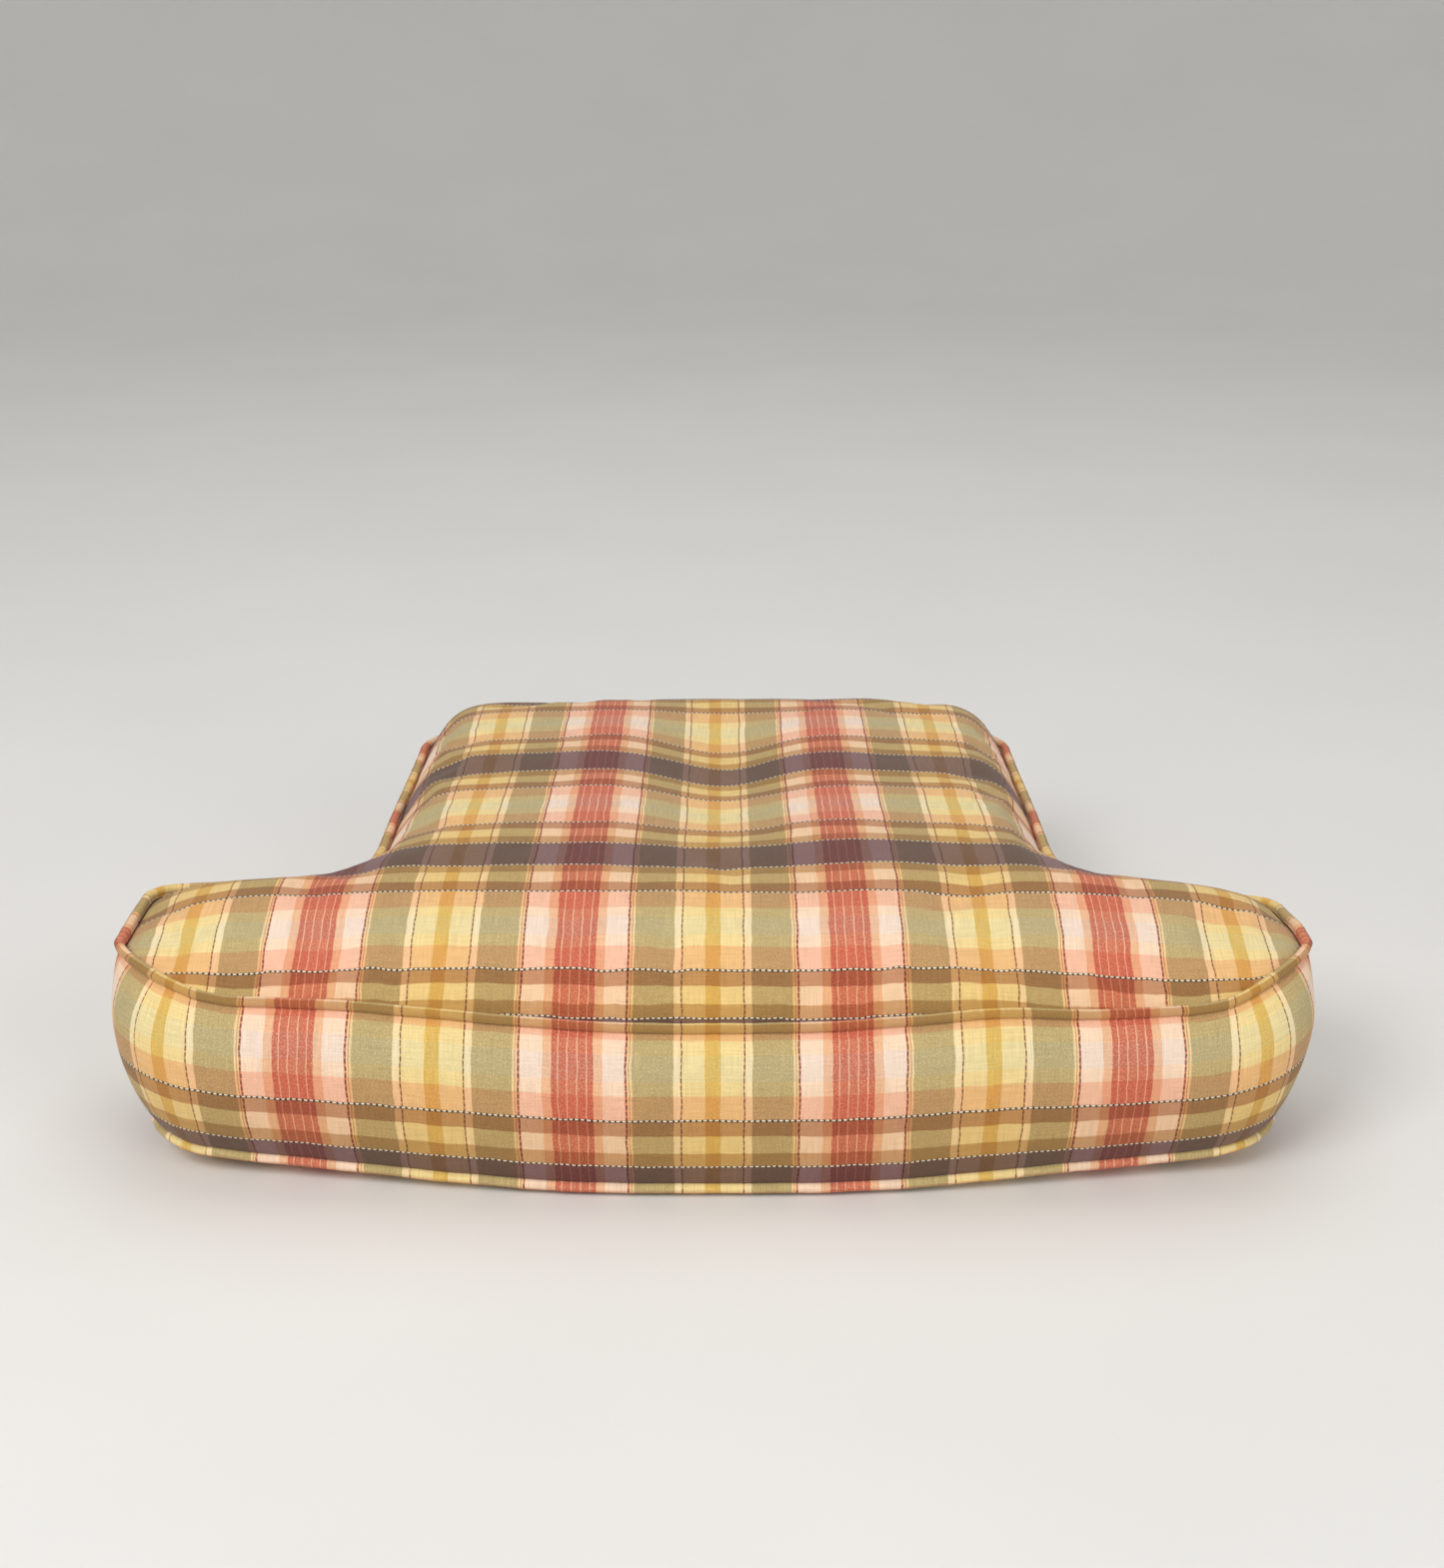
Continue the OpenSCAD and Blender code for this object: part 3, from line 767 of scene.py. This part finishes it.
def build_bottom_panel():
    count = round(ROUND / COARSE_SPACING)
    edge = panel_edge(count, False, BOTTOM_EDGE_DOWN)
    points, faces = flat_sheet(edge[:, :2], COARSE_SPACING)
    pad = np.full(len(points), CLOTH_T)
    z = stretch_over(points, faces, edge[:, 2], pad, BOTTOM_CLIMB, passes=60)
    uv = np.column_stack([points[:, 0], points[:, 1]])
    obj = add_object("bottom_panel_cloth", np.column_stack([points, z]), [f[::-1] for f in faces], uv)
    subdivide(obj)
    set_coordinates(obj, coordinates(obj) - [0, 0, CLOTH_T * 0.9])
    thicken(obj, CLOTH_T)
    finish_piece(obj, PLAID, "plaid_cloth", "bottom_panel")


# ------------------------------------------------------------------ Boxing
BOXING_ROWS = 25
BOXING_STEP = 0.005
FRONT_FULLEST = 0.36
REAR_FULLEST = 0.5
BOXING_CLOTH = 0.645 * REPEAT_Y
BOXING_SPREAD = 1.035
# The strip's edges turn in beside the welts.
TUCK = 0.0055
TUCK_SHARE = 0.024


def boxing_point(s, share):
    """Points of the boxing at distances s, a share of the way down from the upper welt."""
    points, normals = plan(s)
    front = frontness(points[:, 1])
    top, _ = welt_line(s, True)
    bottom, _ = welt_line(s, False)
    fullest = mix(REAR_FULLEST, FRONT_FULLEST, front)
    above = np.clip(1 - share / fullest, 0, 1) ** 2
    below = np.clip((share - fullest) / (1 - fullest), 0, 1) ** 2
    inset = upper_inset(points, normals) * above + lower_inset(points) * below
    inset = inset + TUCK * (np.exp(-share / TUCK_SHARE) + np.exp(-(1 - share) / TUCK_SHARE))
    line = points - normals * inset[:, None]
    z = mix(top[:, 2], bottom[:, 2], share)
    swell = boxing_waves(s, share, z) * front * np.sin(np.pi * share) ** 0.5
    line = line + normals * swell[:, None]
    return np.column_stack([line, z])


def boxing_waves(s, share, z):
    at = np.column_stack([s, z, z * 0])
    soft = 0.0016 * ripple(at * [1, 0.8, 1], 0.070, 7)
    fine = 0.0006 * ripple(at * [1, 0.7, 1], 0.026, 8)
    gather = 0.0010 * ripple(at * [1, 0.3, 1], 0.009, 9) * np.exp(-share / 0.09)
    return soft + fine + gather


def weft_places(rows, cloth):
    """Each row's place in the plaid: 0, a dark band, at the lower seam, and -cloth at the upper one."""
    middle = np.array([row[len(row) // 2] for row in rows])
    along = np.concatenate([[0], np.cumsum(np.linalg.norm(np.diff(middle, axis=0), axis=1))])
    return (along / along[-1] - 1) * cloth


def build_boxing(name, node, first, last, shift=0.0):
    """One boxing strip from distance first to last; shift moves its cloth along the strip."""
    columns = math.ceil((last - first) / BOXING_STEP) + 1
    s = np.linspace(first, last, columns)
    shares = 0.5 - 0.5 * np.cos(np.pi * np.linspace(0.07, 0.93, BOXING_ROWS))
    rows = [boxing_point(s, share) for share in shares]
    across = s / BOXING_SPREAD + shift
    uv = [np.column_stack([across, np.full(columns, v)]) for v in weft_places(rows, BOXING_CLOTH)]
    faces = grid_faces(BOXING_ROWS, columns)
    obj = add_object(name, np.concatenate(rows), [f[::-1] for f in faces], np.concatenate(uv))
    thicken(obj, CLOTH_T)
    finish_piece(obj, PLAID, "plaid_cloth", node)


def build_zip_boxing(name, node, upper):
    """The folded strip above or below the zip: its hem turns in behind the slot."""
    columns = round(2 * ZIP_HALF / 0.006) + 1
    s = np.linspace(ZIP_S, ROUND - ZIP_S, columns)
    hem_z = ZIP_Z + (ZIP_SLOT / 2 if upper else -ZIP_SLOT / 2)
    top = welt_line(s, True)[0][:, 2].mean()
    bottom = welt_line(s, False)[0][:, 2].mean()
    hem_share = (top - hem_z) / (top - bottom)
    edge_share = 0.020 if upper else 0.978
    shares = np.linspace(edge_share, hem_share, 12)
    rows = [boxing_point(s, share) for share in shares]
    fold = rows[-1].copy()
    turn = 1 if upper else -1
    for back, up in HEM_ROWS:
        row = fold.copy()
        row[:, 1] -= back
        row[:, 2] += turn * up
        rows.append(row)
    drop = [share * BOXING_CLOTH - BOXING_CLOTH for share in shares]
    drop += [drop[-1] + turn * back for back, _ in HEM_ROWS]
    uv = [np.column_stack([s, np.full(columns, value)]) for value in drop]
    faces = grid_faces(len(rows), columns)
    if upper:
        faces = [f[::-1] for f in faces]
    obj = add_object(name, np.concatenate(rows), faces, np.concatenate(uv))
    thicken(obj, CLOTH_T)
    finish_piece(obj, PLAID, "plaid_cloth", node)


# ------------------------------------------------------------------ Welts
def sweep(name, line, normals, sections, uv):
    """A closed tube along a line. sections are (outward, up) offsets: an outer ring and, if the tube is
    hollow, an inner one."""
    rings = []
    for section in sections:
        ring = np.empty((len(line), section.shape[-2], 3))
        ring[:, :, :2] = line[:, None, :2] + normals[:, None, :] * section[..., :1]
        ring[:, :, 2] = line[:, None, 2] + section[..., 1]
        rings.append(ring)
    rows = len(line)
    verts, faces = [], []
    for k, ring in enumerate(rings):
        base = sum(len(v) for v in verts)
        count = ring.shape[1]
        part = grid_faces(rows, count, closed=True)
        faces += [tuple(base + i for i in (f if k == 0 else f[::-1])) for f in part]
        verts.append(ring.reshape(-1, 3))
    if len(rings) == 2:
        base = len(verts[0])
        for end in (0, rows - 1):
            for c in range(count):
                d = (c + 1) % count
                quad = (end * count + c, base + end * count + c, base + end * count + d, end * count + d)
                faces.append(quad if end == 0 else quad[::-1])
    else:
        faces.append(tuple(range(count)))
        faces.append(tuple((rows - 1) * count + c for c in reversed(range(count))))
    return add_object(name, np.concatenate(verts), faces, uv)


WELT_SPACING = 0.0032
WELT_SIDES = 14
CORD_SIDES = 12
CORD_LAY = 0.012
# The way the welt is seen from, as an angle up from straight out; the welts' painted highlight and
# painted shade are laid out round it.
WELT_PAINTED_LIGHT_FACE = 0.9


def build_welt(upper):
    """The covered cord on one seam, joined at the middle of the rear."""
    prefix = "top" if upper else "bottom"
    rows = round(ROUND / WELT_SPACING)
    s = np.linspace(-ROUND / 2 + 0.0001, ROUND / 2 - 0.0001, rows)
    line, normals = welt_line(s, upper)
    angle = np.linspace(0, 2 * np.pi, WELT_SIDES, endpoint=False)
    along = np.column_stack([s, s * 0, s * 0])
    gathered = 0.00022 * ripple(along, 0.0060, 11 + upper) + 0.00012 * ripple(along, 0.0026, 13)
    radius = (WELT_R + gathered)[:, None]
    outer = np.stack([radius * np.cos(angle), radius * np.sin(angle)], -1)
    lining = np.full((rows, 1), WELT_CORD_R + 0.0001)
    inner = np.stack([lining * np.cos(angle), lining * np.sin(angle)], -1)
    # The strip is cut straight, so the plaid's stripes cross the welt. The weft's place follows the
    # angle round the welt from the side it is seen from, as painted light: the upper welt is pale above
    # as a painted highlight and khaki below as painted shade; the lower one is painted lighter toward
    # the side it is seen from and peach above and below it as painted crease shade.
    if upper:
        weft = 0.1540 * REPEAT_Y + 0.0080 * np.sin(angle - WELT_PAINTED_LIGHT_FACE)
    else:
        weft = 0.4150 * REPEAT_Y - 0.0040 * (1 - np.cos(angle - WELT_PAINTED_LIGHT_FACE))
    uv_ring = np.stack([np.repeat(s / BOXING_SPREAD, WELT_SIDES), np.tile(weft, rows)], 1)
    uv = np.concatenate([uv_ring, uv_ring])
    cover = sweep(prefix + "_welt_cloth", line, normals, (outer, inner), uv)
    finish_piece(cover, PLAID_WELT, "plaid_welt", prefix + "_welt_cover")

    turn = np.linspace(0, 2 * np.pi, CORD_SIDES, endpoint=False)
    every = slice(None, None, 2)
    twist = s[every, None] * 2 * np.pi / CORD_LAY
    lobes = WELT_CORD_R * (0.93 + 0.06 * np.cos(3 * turn[None, :] + twist))
    section = np.stack([lobes * np.cos(turn), lobes * np.sin(turn)], -1)
    cord = sweep(prefix + "_welt_core", line[every], normals[every], (section,), None)
    finish_piece(cord, COTTON, "welt_cord", prefix + "_welt_cord")


# ------------------------------------------------------------------ Filling
def t_block(name, spacing, rings, high_z=None):
    """A T-shaped block: rings are (inset, z) from the bottom's edge to the top's edge.

    high_z gives the top's height over points of the plan; without it the top is flat.
    """
    count = round(ROUND / spacing)
    s = np.linspace(-ROUND / 2, ROUND / 2, count, endpoint=False)
    points, normals = plan(s)
    loops = [points - normals * inset for inset, _ in rings]
    verts, faces = [], []
    for loop, (_, z) in zip(loops, rings):
        height = z(*loop.T) if callable(z) else np.full(count, z)
        verts.append(np.column_stack([loop, height]))
    faces += grid_faces(len(rings), count, closed=True)
    base = len(rings) * count
    for ring, cap_z, flip in ((0, None, True), (len(rings) - 1, high_z, False)):
        flat, triangles = flat_sheet(loops[ring], spacing)
        added = flat[count:]
        edge_z = verts[ring][:, 2]
        height = cap_z(*added.T) if cap_z else np.full(len(added), edge_z.mean())
        verts.append(np.column_stack([added, height]))
        for f in triangles:
            named = [ring * count + i if i < count else base + i - count for i in f]
            faces.append(tuple(named[::-1] if flip else named))
        base += len(added)
    return add_object(name, np.concatenate(verts), faces)


def rounded_rings(inset, low, high, radius, steps=4):
    """Rings of a block's side with round edges, from the bottom up."""
    rings = []
    for k in range(steps + 1):
        a = math.pi / 2 * k / steps
        rings.append((inset + radius * (1 - math.sin(a)), low + radius * (1 - math.cos(a))))
    for k in range(steps + 1):
        a = math.pi / 2 * (1 - k / steps)
        rings.append((inset + radius * (1 - math.sin(a)), high - radius * (1 - math.cos(a))))
    return rings


WRAP_INSET = 0.020
WRAP_T = 0.0085
WRAP_ROUND, WRAP_INNER_ROUND = 0.016, 0.0075
FOAM_GAP, FOAM_ROUND = 0.0008, 0.008
PAD_INSET = 0.034
PAD_SPACING = 0.013
PAD_BELOW_CLOTH = 0.0045
LOWER_PAD_INSET, LOWER_PAD_ROUND = 0.040, 0.003


def height_over(panel):
    """A function that gives the panel's height over points of the plan."""
    surface = coordinates(panel)
    surface = surface[normals_of(panel)[:, 2] > 0][::3]

    def height(x, y):
        found = []
        for at in np.column_stack([x, y]):
            gap = np.linalg.norm(surface[:, :2] - at, axis=1)
            close = np.argpartition(gap, 4)[:4]
            found.append(np.average(surface[close, 2], weights=1 / (gap[close] + 1e-4)))
        return np.array(found)

    return height


def lift_ears(obj):
    """Raises the low parts of a filling with the underside's edge."""
    points = coordinates(obj)
    x, y, z = points.T
    points[:, 2] += ear_lift(x, y) * np.clip(1 - z / 0.05, 0, 1)
    set_coordinates(obj, points)


def build_filling(top_panel):
    """The foam block, the fibre sheet round it, and the two loose fibre pads above and below."""
    low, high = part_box("foam_core")
    foam_rings = rounded_rings(WRAP_INSET + WRAP_T + FOAM_GAP, low.z, high.z, FOAM_ROUND)
    foam = t_block("foam_block", COARSE_SPACING, foam_rings)
    lift_ears(foam)
    finish_piece(foam, FOAM, "foam", "foam_core")

    low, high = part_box("fibre_wrap")
    wrap_rings = rounded_rings(WRAP_INSET, low.z, high.z, WRAP_ROUND)
    wrap = t_block("fibre_sheet", COARSE_SPACING, wrap_rings)
    inner_low, inner_high = low.z + WRAP_T, high.z - WRAP_T
    hollow_rings = rounded_rings(WRAP_INSET + WRAP_T, inner_low, inner_high, WRAP_INNER_ROUND)
    hollow = t_block("fibre_sheet_hollow", COARSE_SPACING, hollow_rings)
    join_inside_out(wrap, hollow)
    lift_ears(wrap)
    finish_piece(wrap, FIBRE, "fibre", "fibre_wrap")

    low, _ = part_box("upper_crown_pad")
    over = height_over(top_panel)

    def pad_top(x, y):
        return over(x, y) - PAD_BELOW_CLOTH

    def pad_shoulder(x, y):
        return mix(low.z, pad_top(x, y), 0.6)

    rings = [(PAD_INSET + 0.004, low.z), (PAD_INSET, low.z + 0.003), (PAD_INSET, pad_shoulder)]
    rings.append((PAD_INSET + 0.004, pad_top))
    pad = t_block("upper_fibre_pad", PAD_SPACING, rings, high_z=pad_top)
    finish_piece(pad, FIBRE, "fibre", "upper_crown_pad")

    low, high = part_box("lower_crown_pad")
    rings = rounded_rings(LOWER_PAD_INSET, low.z, high.z, LOWER_PAD_ROUND, 2)
    pad = t_block("lower_fibre_pad", COARSE_SPACING, rings)
    lift_ears(pad)
    finish_piece(pad, FIBRE, "fibre", "lower_crown_pad")


def join_inside_out(shell, hollow):
    """Adds the hollow's surface, turned inside out, to the shell's mesh."""
    outer, inner = shell.data, hollow.data
    base = len(outer.vertices)
    verts = [v.co[:] for v in outer.vertices] + [v.co[:] for v in inner.vertices]
    faces = [tuple(p.vertices) for p in outer.polygons]
    faces += [tuple(base + i for i in reversed(p.vertices)) for p in inner.polygons]
    joined = bpy.data.meshes.new(shell.name)
    joined.from_pydata(verts, [], faces)
    joined.polygons.foreach_set("use_smooth", [True] * len(faces))
    shell.data = joined
    bpy.data.objects.remove(hollow)


# ------------------------------------------------------------------ Zip
COIL_PITCH = 0.00135
COIL_WIRE_R = 0.0003
COIL_TURN_STEPS = 8
STITCH_PITCH, STITCH_LENGTH, THREAD_R = 0.0065, 0.0034, 0.00025


def build_tape(upper):
    """One woven tape behind the slot."""
    node = "upper_zip_tape" if upper else "lower_zip_tape"
    low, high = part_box(node)
    columns, rows = 131, 7
    x = np.linspace(low.x, high.x, columns)
    verts = []
    for z in np.linspace(low.z, high.z, rows):
        ease = 0.00012 * ripple(np.column_stack([x, x * 0 + z, x * 0]), 0.013, 21)
        verts += [(a, high.y - 0.00015 + b, z) for a, b in zip(x, ease)]
    faces = [f[::-1] for f in grid_faces(rows, columns)]
    tape = add_object(node + "_woven", verts, faces)
    thicken(tape, high.y - low.y - 0.0003)
    finish_piece(tape, TAPE, "zip_tape", node)


def build_coil(upper):
    """One coil: a fine wire wound along the tape's edge, with its turns between those of the other."""
    node = "upper_zip_coil" if upper else "lower_zip_coil"
    low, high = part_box(node)
    side = 1 if upper else -1
    mid_y, reach_y = (low.y + high.y) / 2, (high.y - low.y) / 2 - COIL_WIRE_R
    near, far = 0.0005, max(abs(low.z - ZIP_Z), abs(high.z - ZIP_Z))
    mid_z, reach_z = ZIP_Z + side * (near + far) / 2, (far - near) / 2 - COIL_WIRE_R
    turns = (high.x - low.x - 2 * COIL_WIRE_R) / COIL_PITCH
    count = int(turns * COIL_TURN_STEPS)
    a = np.linspace(0, turns * 2 * np.pi, count)
    x = np.linspace(low.x + COIL_WIRE_R, high.x - COIL_WIRE_R, count)
    phase = 0 if upper else np.pi
    centre = np.stack([x, mid_y + reach_y * np.sin(a), mid_z + reach_z * np.cos(a + phase)], 1)
    outward = np.stack([x * 0, np.sin(a), np.cos(a + phase)], 1)
    sides = 5
    verts = []
    for k in range(sides):
        b = 2 * np.pi * k / sides
        verts.append(centre + COIL_WIRE_R * (outward * math.cos(b) + np.array([math.sin(b), 0, 0])))
    verts = np.stack(verts, 1).reshape(-1, 3)
    faces = grid_faces(count, sides, closed=True)
    faces += [tuple(range(sides))[::-1], tuple((count - 1) * sides + k for k in range(sides))]
    coil = add_object(node + "_wound", verts, faces)
    finish_piece(coil, COIL, "zip_coil", node)


def build_stitching(upper):
    """A row of lock stitches: each dives into the cloth at both ends."""
    node = "upper_zip_stitching" if upper else "lower_zip_stitching"
    low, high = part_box(node)
    count = round((high.x - low.x - STITCH_LENGTH) / STITCH_PITCH) + 1
    z = (low.z + high.z) / 2
    rings, sides = 7, 6
    verts, faces = [], []
    for k in range(count):
        base = len(verts)
        for i, t in enumerate(np.linspace(-1, 1, rings)):
            radius = THREAD_R * math.sqrt(max(0.02, 1 - abs(t) ** 4))
            x = low.x + STITCH_LENGTH / 2 + k * STITCH_PITCH + t * STITCH_LENGTH / 2
            y = high.y - 0.0003 - 0.0005 * t * t
            lean = 0.00015 * t
            for j in range(sides):
                b = 2 * math.pi * j / sides
                verts.append((x, y + radius * math.cos(b), z + lean + radius * math.sin(b)))
        part = grid_faces(rings, sides, closed=True)
        faces += [tuple(base + i for i in f) for f in part]
        faces.append(tuple(base + j for j in reversed(range(sides))))
        faces.append(tuple(base + (rings - 1) * sides + j for j in range(sides)))
    row = add_object(node + "_thread", verts, faces)
    finish_piece(row, THREAD, "thread", node)


PRESSED_EDGE = 0.00025
CAST_EDGE = 0.00018


def build_metal(node, name, width, body=BODY):
    """A copy of a CAD part with its edges rounded, as die-cast and pressed metal has them."""
    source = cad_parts[node]
    obj = bpy.data.objects.new(name, source.data.copy())
    bpy.context.scene.collection.objects.link(obj)
    work = bmesh.new()
    work.from_mesh(obj.data)
    bmesh.ops.remove_doubles(work, verts=work.verts, dist=1e-6)
    flat = math.radians(1)
    bmesh.ops.dissolve_limit(work, angle_limit=flat, verts=work.verts, edges=work.edges)
    work.to_mesh(obj.data)
    work.free()
    edges = obj.modifiers.new("rounded", "BEVEL")
    edges.width = width
    edges.segments = 2
    edges.limit_method = "ANGLE"
    edges.angle_limit = math.radians(35)
    apply_modifiers(obj)
    obj.data.polygons.foreach_set("use_smooth", [True] * len(obj.data.polygons))
    obj.data.set_sharp_from_angle(angle=math.radians(40))
    finish_piece(obj, BRASS, "zip_metal", node, body=body)


# ------------------------------------------------------------------ Stage
def build_stage():
    """A pale floor that sweeps up to a wall all round, lit by large soft lights."""
    n = Nodes("studio_floor", roughness=0.9)
    tone = n.noise(n.object_place(), 3.0, 2.0)
    n.colour(n.ramp(tone, [(0.3, linear(230, 228, 224)), (0.7, linear(233, 231, 227))]))
    sweep_r, flat_r, wall_z = 3.0, 3.5, 7.0
    bend = np.linspace(0, math.pi / 2, 14)
    profile = [(0.01, 0.0), (flat_r / 2, 0.0)]
    profile += [(flat_r + sweep_r * math.sin(a), sweep_r * (1 - math.cos(a))) for a in bend]
    profile += [(flat_r + sweep_r, wall_z)]
    turn = np.linspace(0, 2 * math.pi, 72, endpoint=False)
    verts = [(r * math.cos(a), r * math.sin(a), z) for r, z in profile for a in turn]
    floor = add_object("studio_floor", verts, grid_faces(len(profile), len(turn), closed=True))
    floor.data.materials.append(n.material)

    world = bpy.data.worlds.new("studio")
    world.use_nodes = True
    world.node_tree.nodes["Background"].inputs[0].default_value = linear(236, 238, 242)
    world.node_tree.nodes["Background"].inputs[1].default_value = 0.60
    bpy.context.scene.world = world

    def area_light(name, place, aim, size, power):
        data = bpy.data.lights.new(name, "AREA")
        data.size = size
        data.energy = power
        light = bpy.data.objects.new(name, data)
        light.location = place
        light.rotation_euler = (Vector(aim) - Vector(place)).to_track_quat("-Z", "Y").to_euler()
        bpy.context.scene.collection.objects.link(light)

    area_light("key", (-1.6, -2.2, 2.6), (0, 0, 0.1), 1.6, 62)
    area_light("fill", (1.9, -2.4, 1.6), (0, -0.1, 0.1), 2.0, 26)
    area_light("sky", (0.2, 0.9, 2.8), (0, 0, 0.1), 2.4, 17)


def build_camera():
    """The photograph's standpoint: in front of the cushion, above it, looking down at it."""
    data = bpy.data.cameras.new("camera")
    data.sensor_fit = "VERTICAL"
    data.sensor_height = 36
    data.lens = 50.5
    camera = bpy.data.objects.new("camera", data)
    camera.location = (0.006, -1.5665, 0.785)
    camera.rotation_euler = (math.radians(69.10), 0, 0)
    bpy.context.scene.collection.objects.link(camera)
    bpy.context.scene.camera = camera
    bpy.context.scene.view_settings.view_transform = "Standard"


# ------------------------------------------------------------------ Assembly
top_panel = build_top_panel()
build_bottom_panel()
build_boxing("front_boxing_cloth", "front_boxing", -NOTCH_S, NOTCH_S)
build_boxing("right_boxing_cloth", "right_boxing", NOTCH_S, ZIP_S, shift=0.02)
build_boxing("left_boxing_cloth", "left_boxing", -ZIP_S, -NOTCH_S, shift=-0.02)
build_zip_boxing("upper_zip_boxing_cloth", "upper_zip_boxing", True)
build_zip_boxing("lower_zip_boxing_cloth", "lower_zip_boxing", False)
build_welt(True)
build_welt(False)
build_filling(top_panel)
for is_upper in (True, False):
    build_tape(is_upper)
    build_coil(is_upper)
    build_stitching(is_upper)
build_metal("zip_top_stops", "zip_top_stops_metal", PRESSED_EDGE)
build_metal("zip_bottom_stop", "zip_bottom_stop_metal", PRESSED_EDGE)
build_metal("zip_slider", "zip_slider_metal", CAST_EDGE, body="slider")
build_metal("zip_pull", "zip_pull_metal", CAST_EDGE, body="pull")
build_stage()
build_camera()
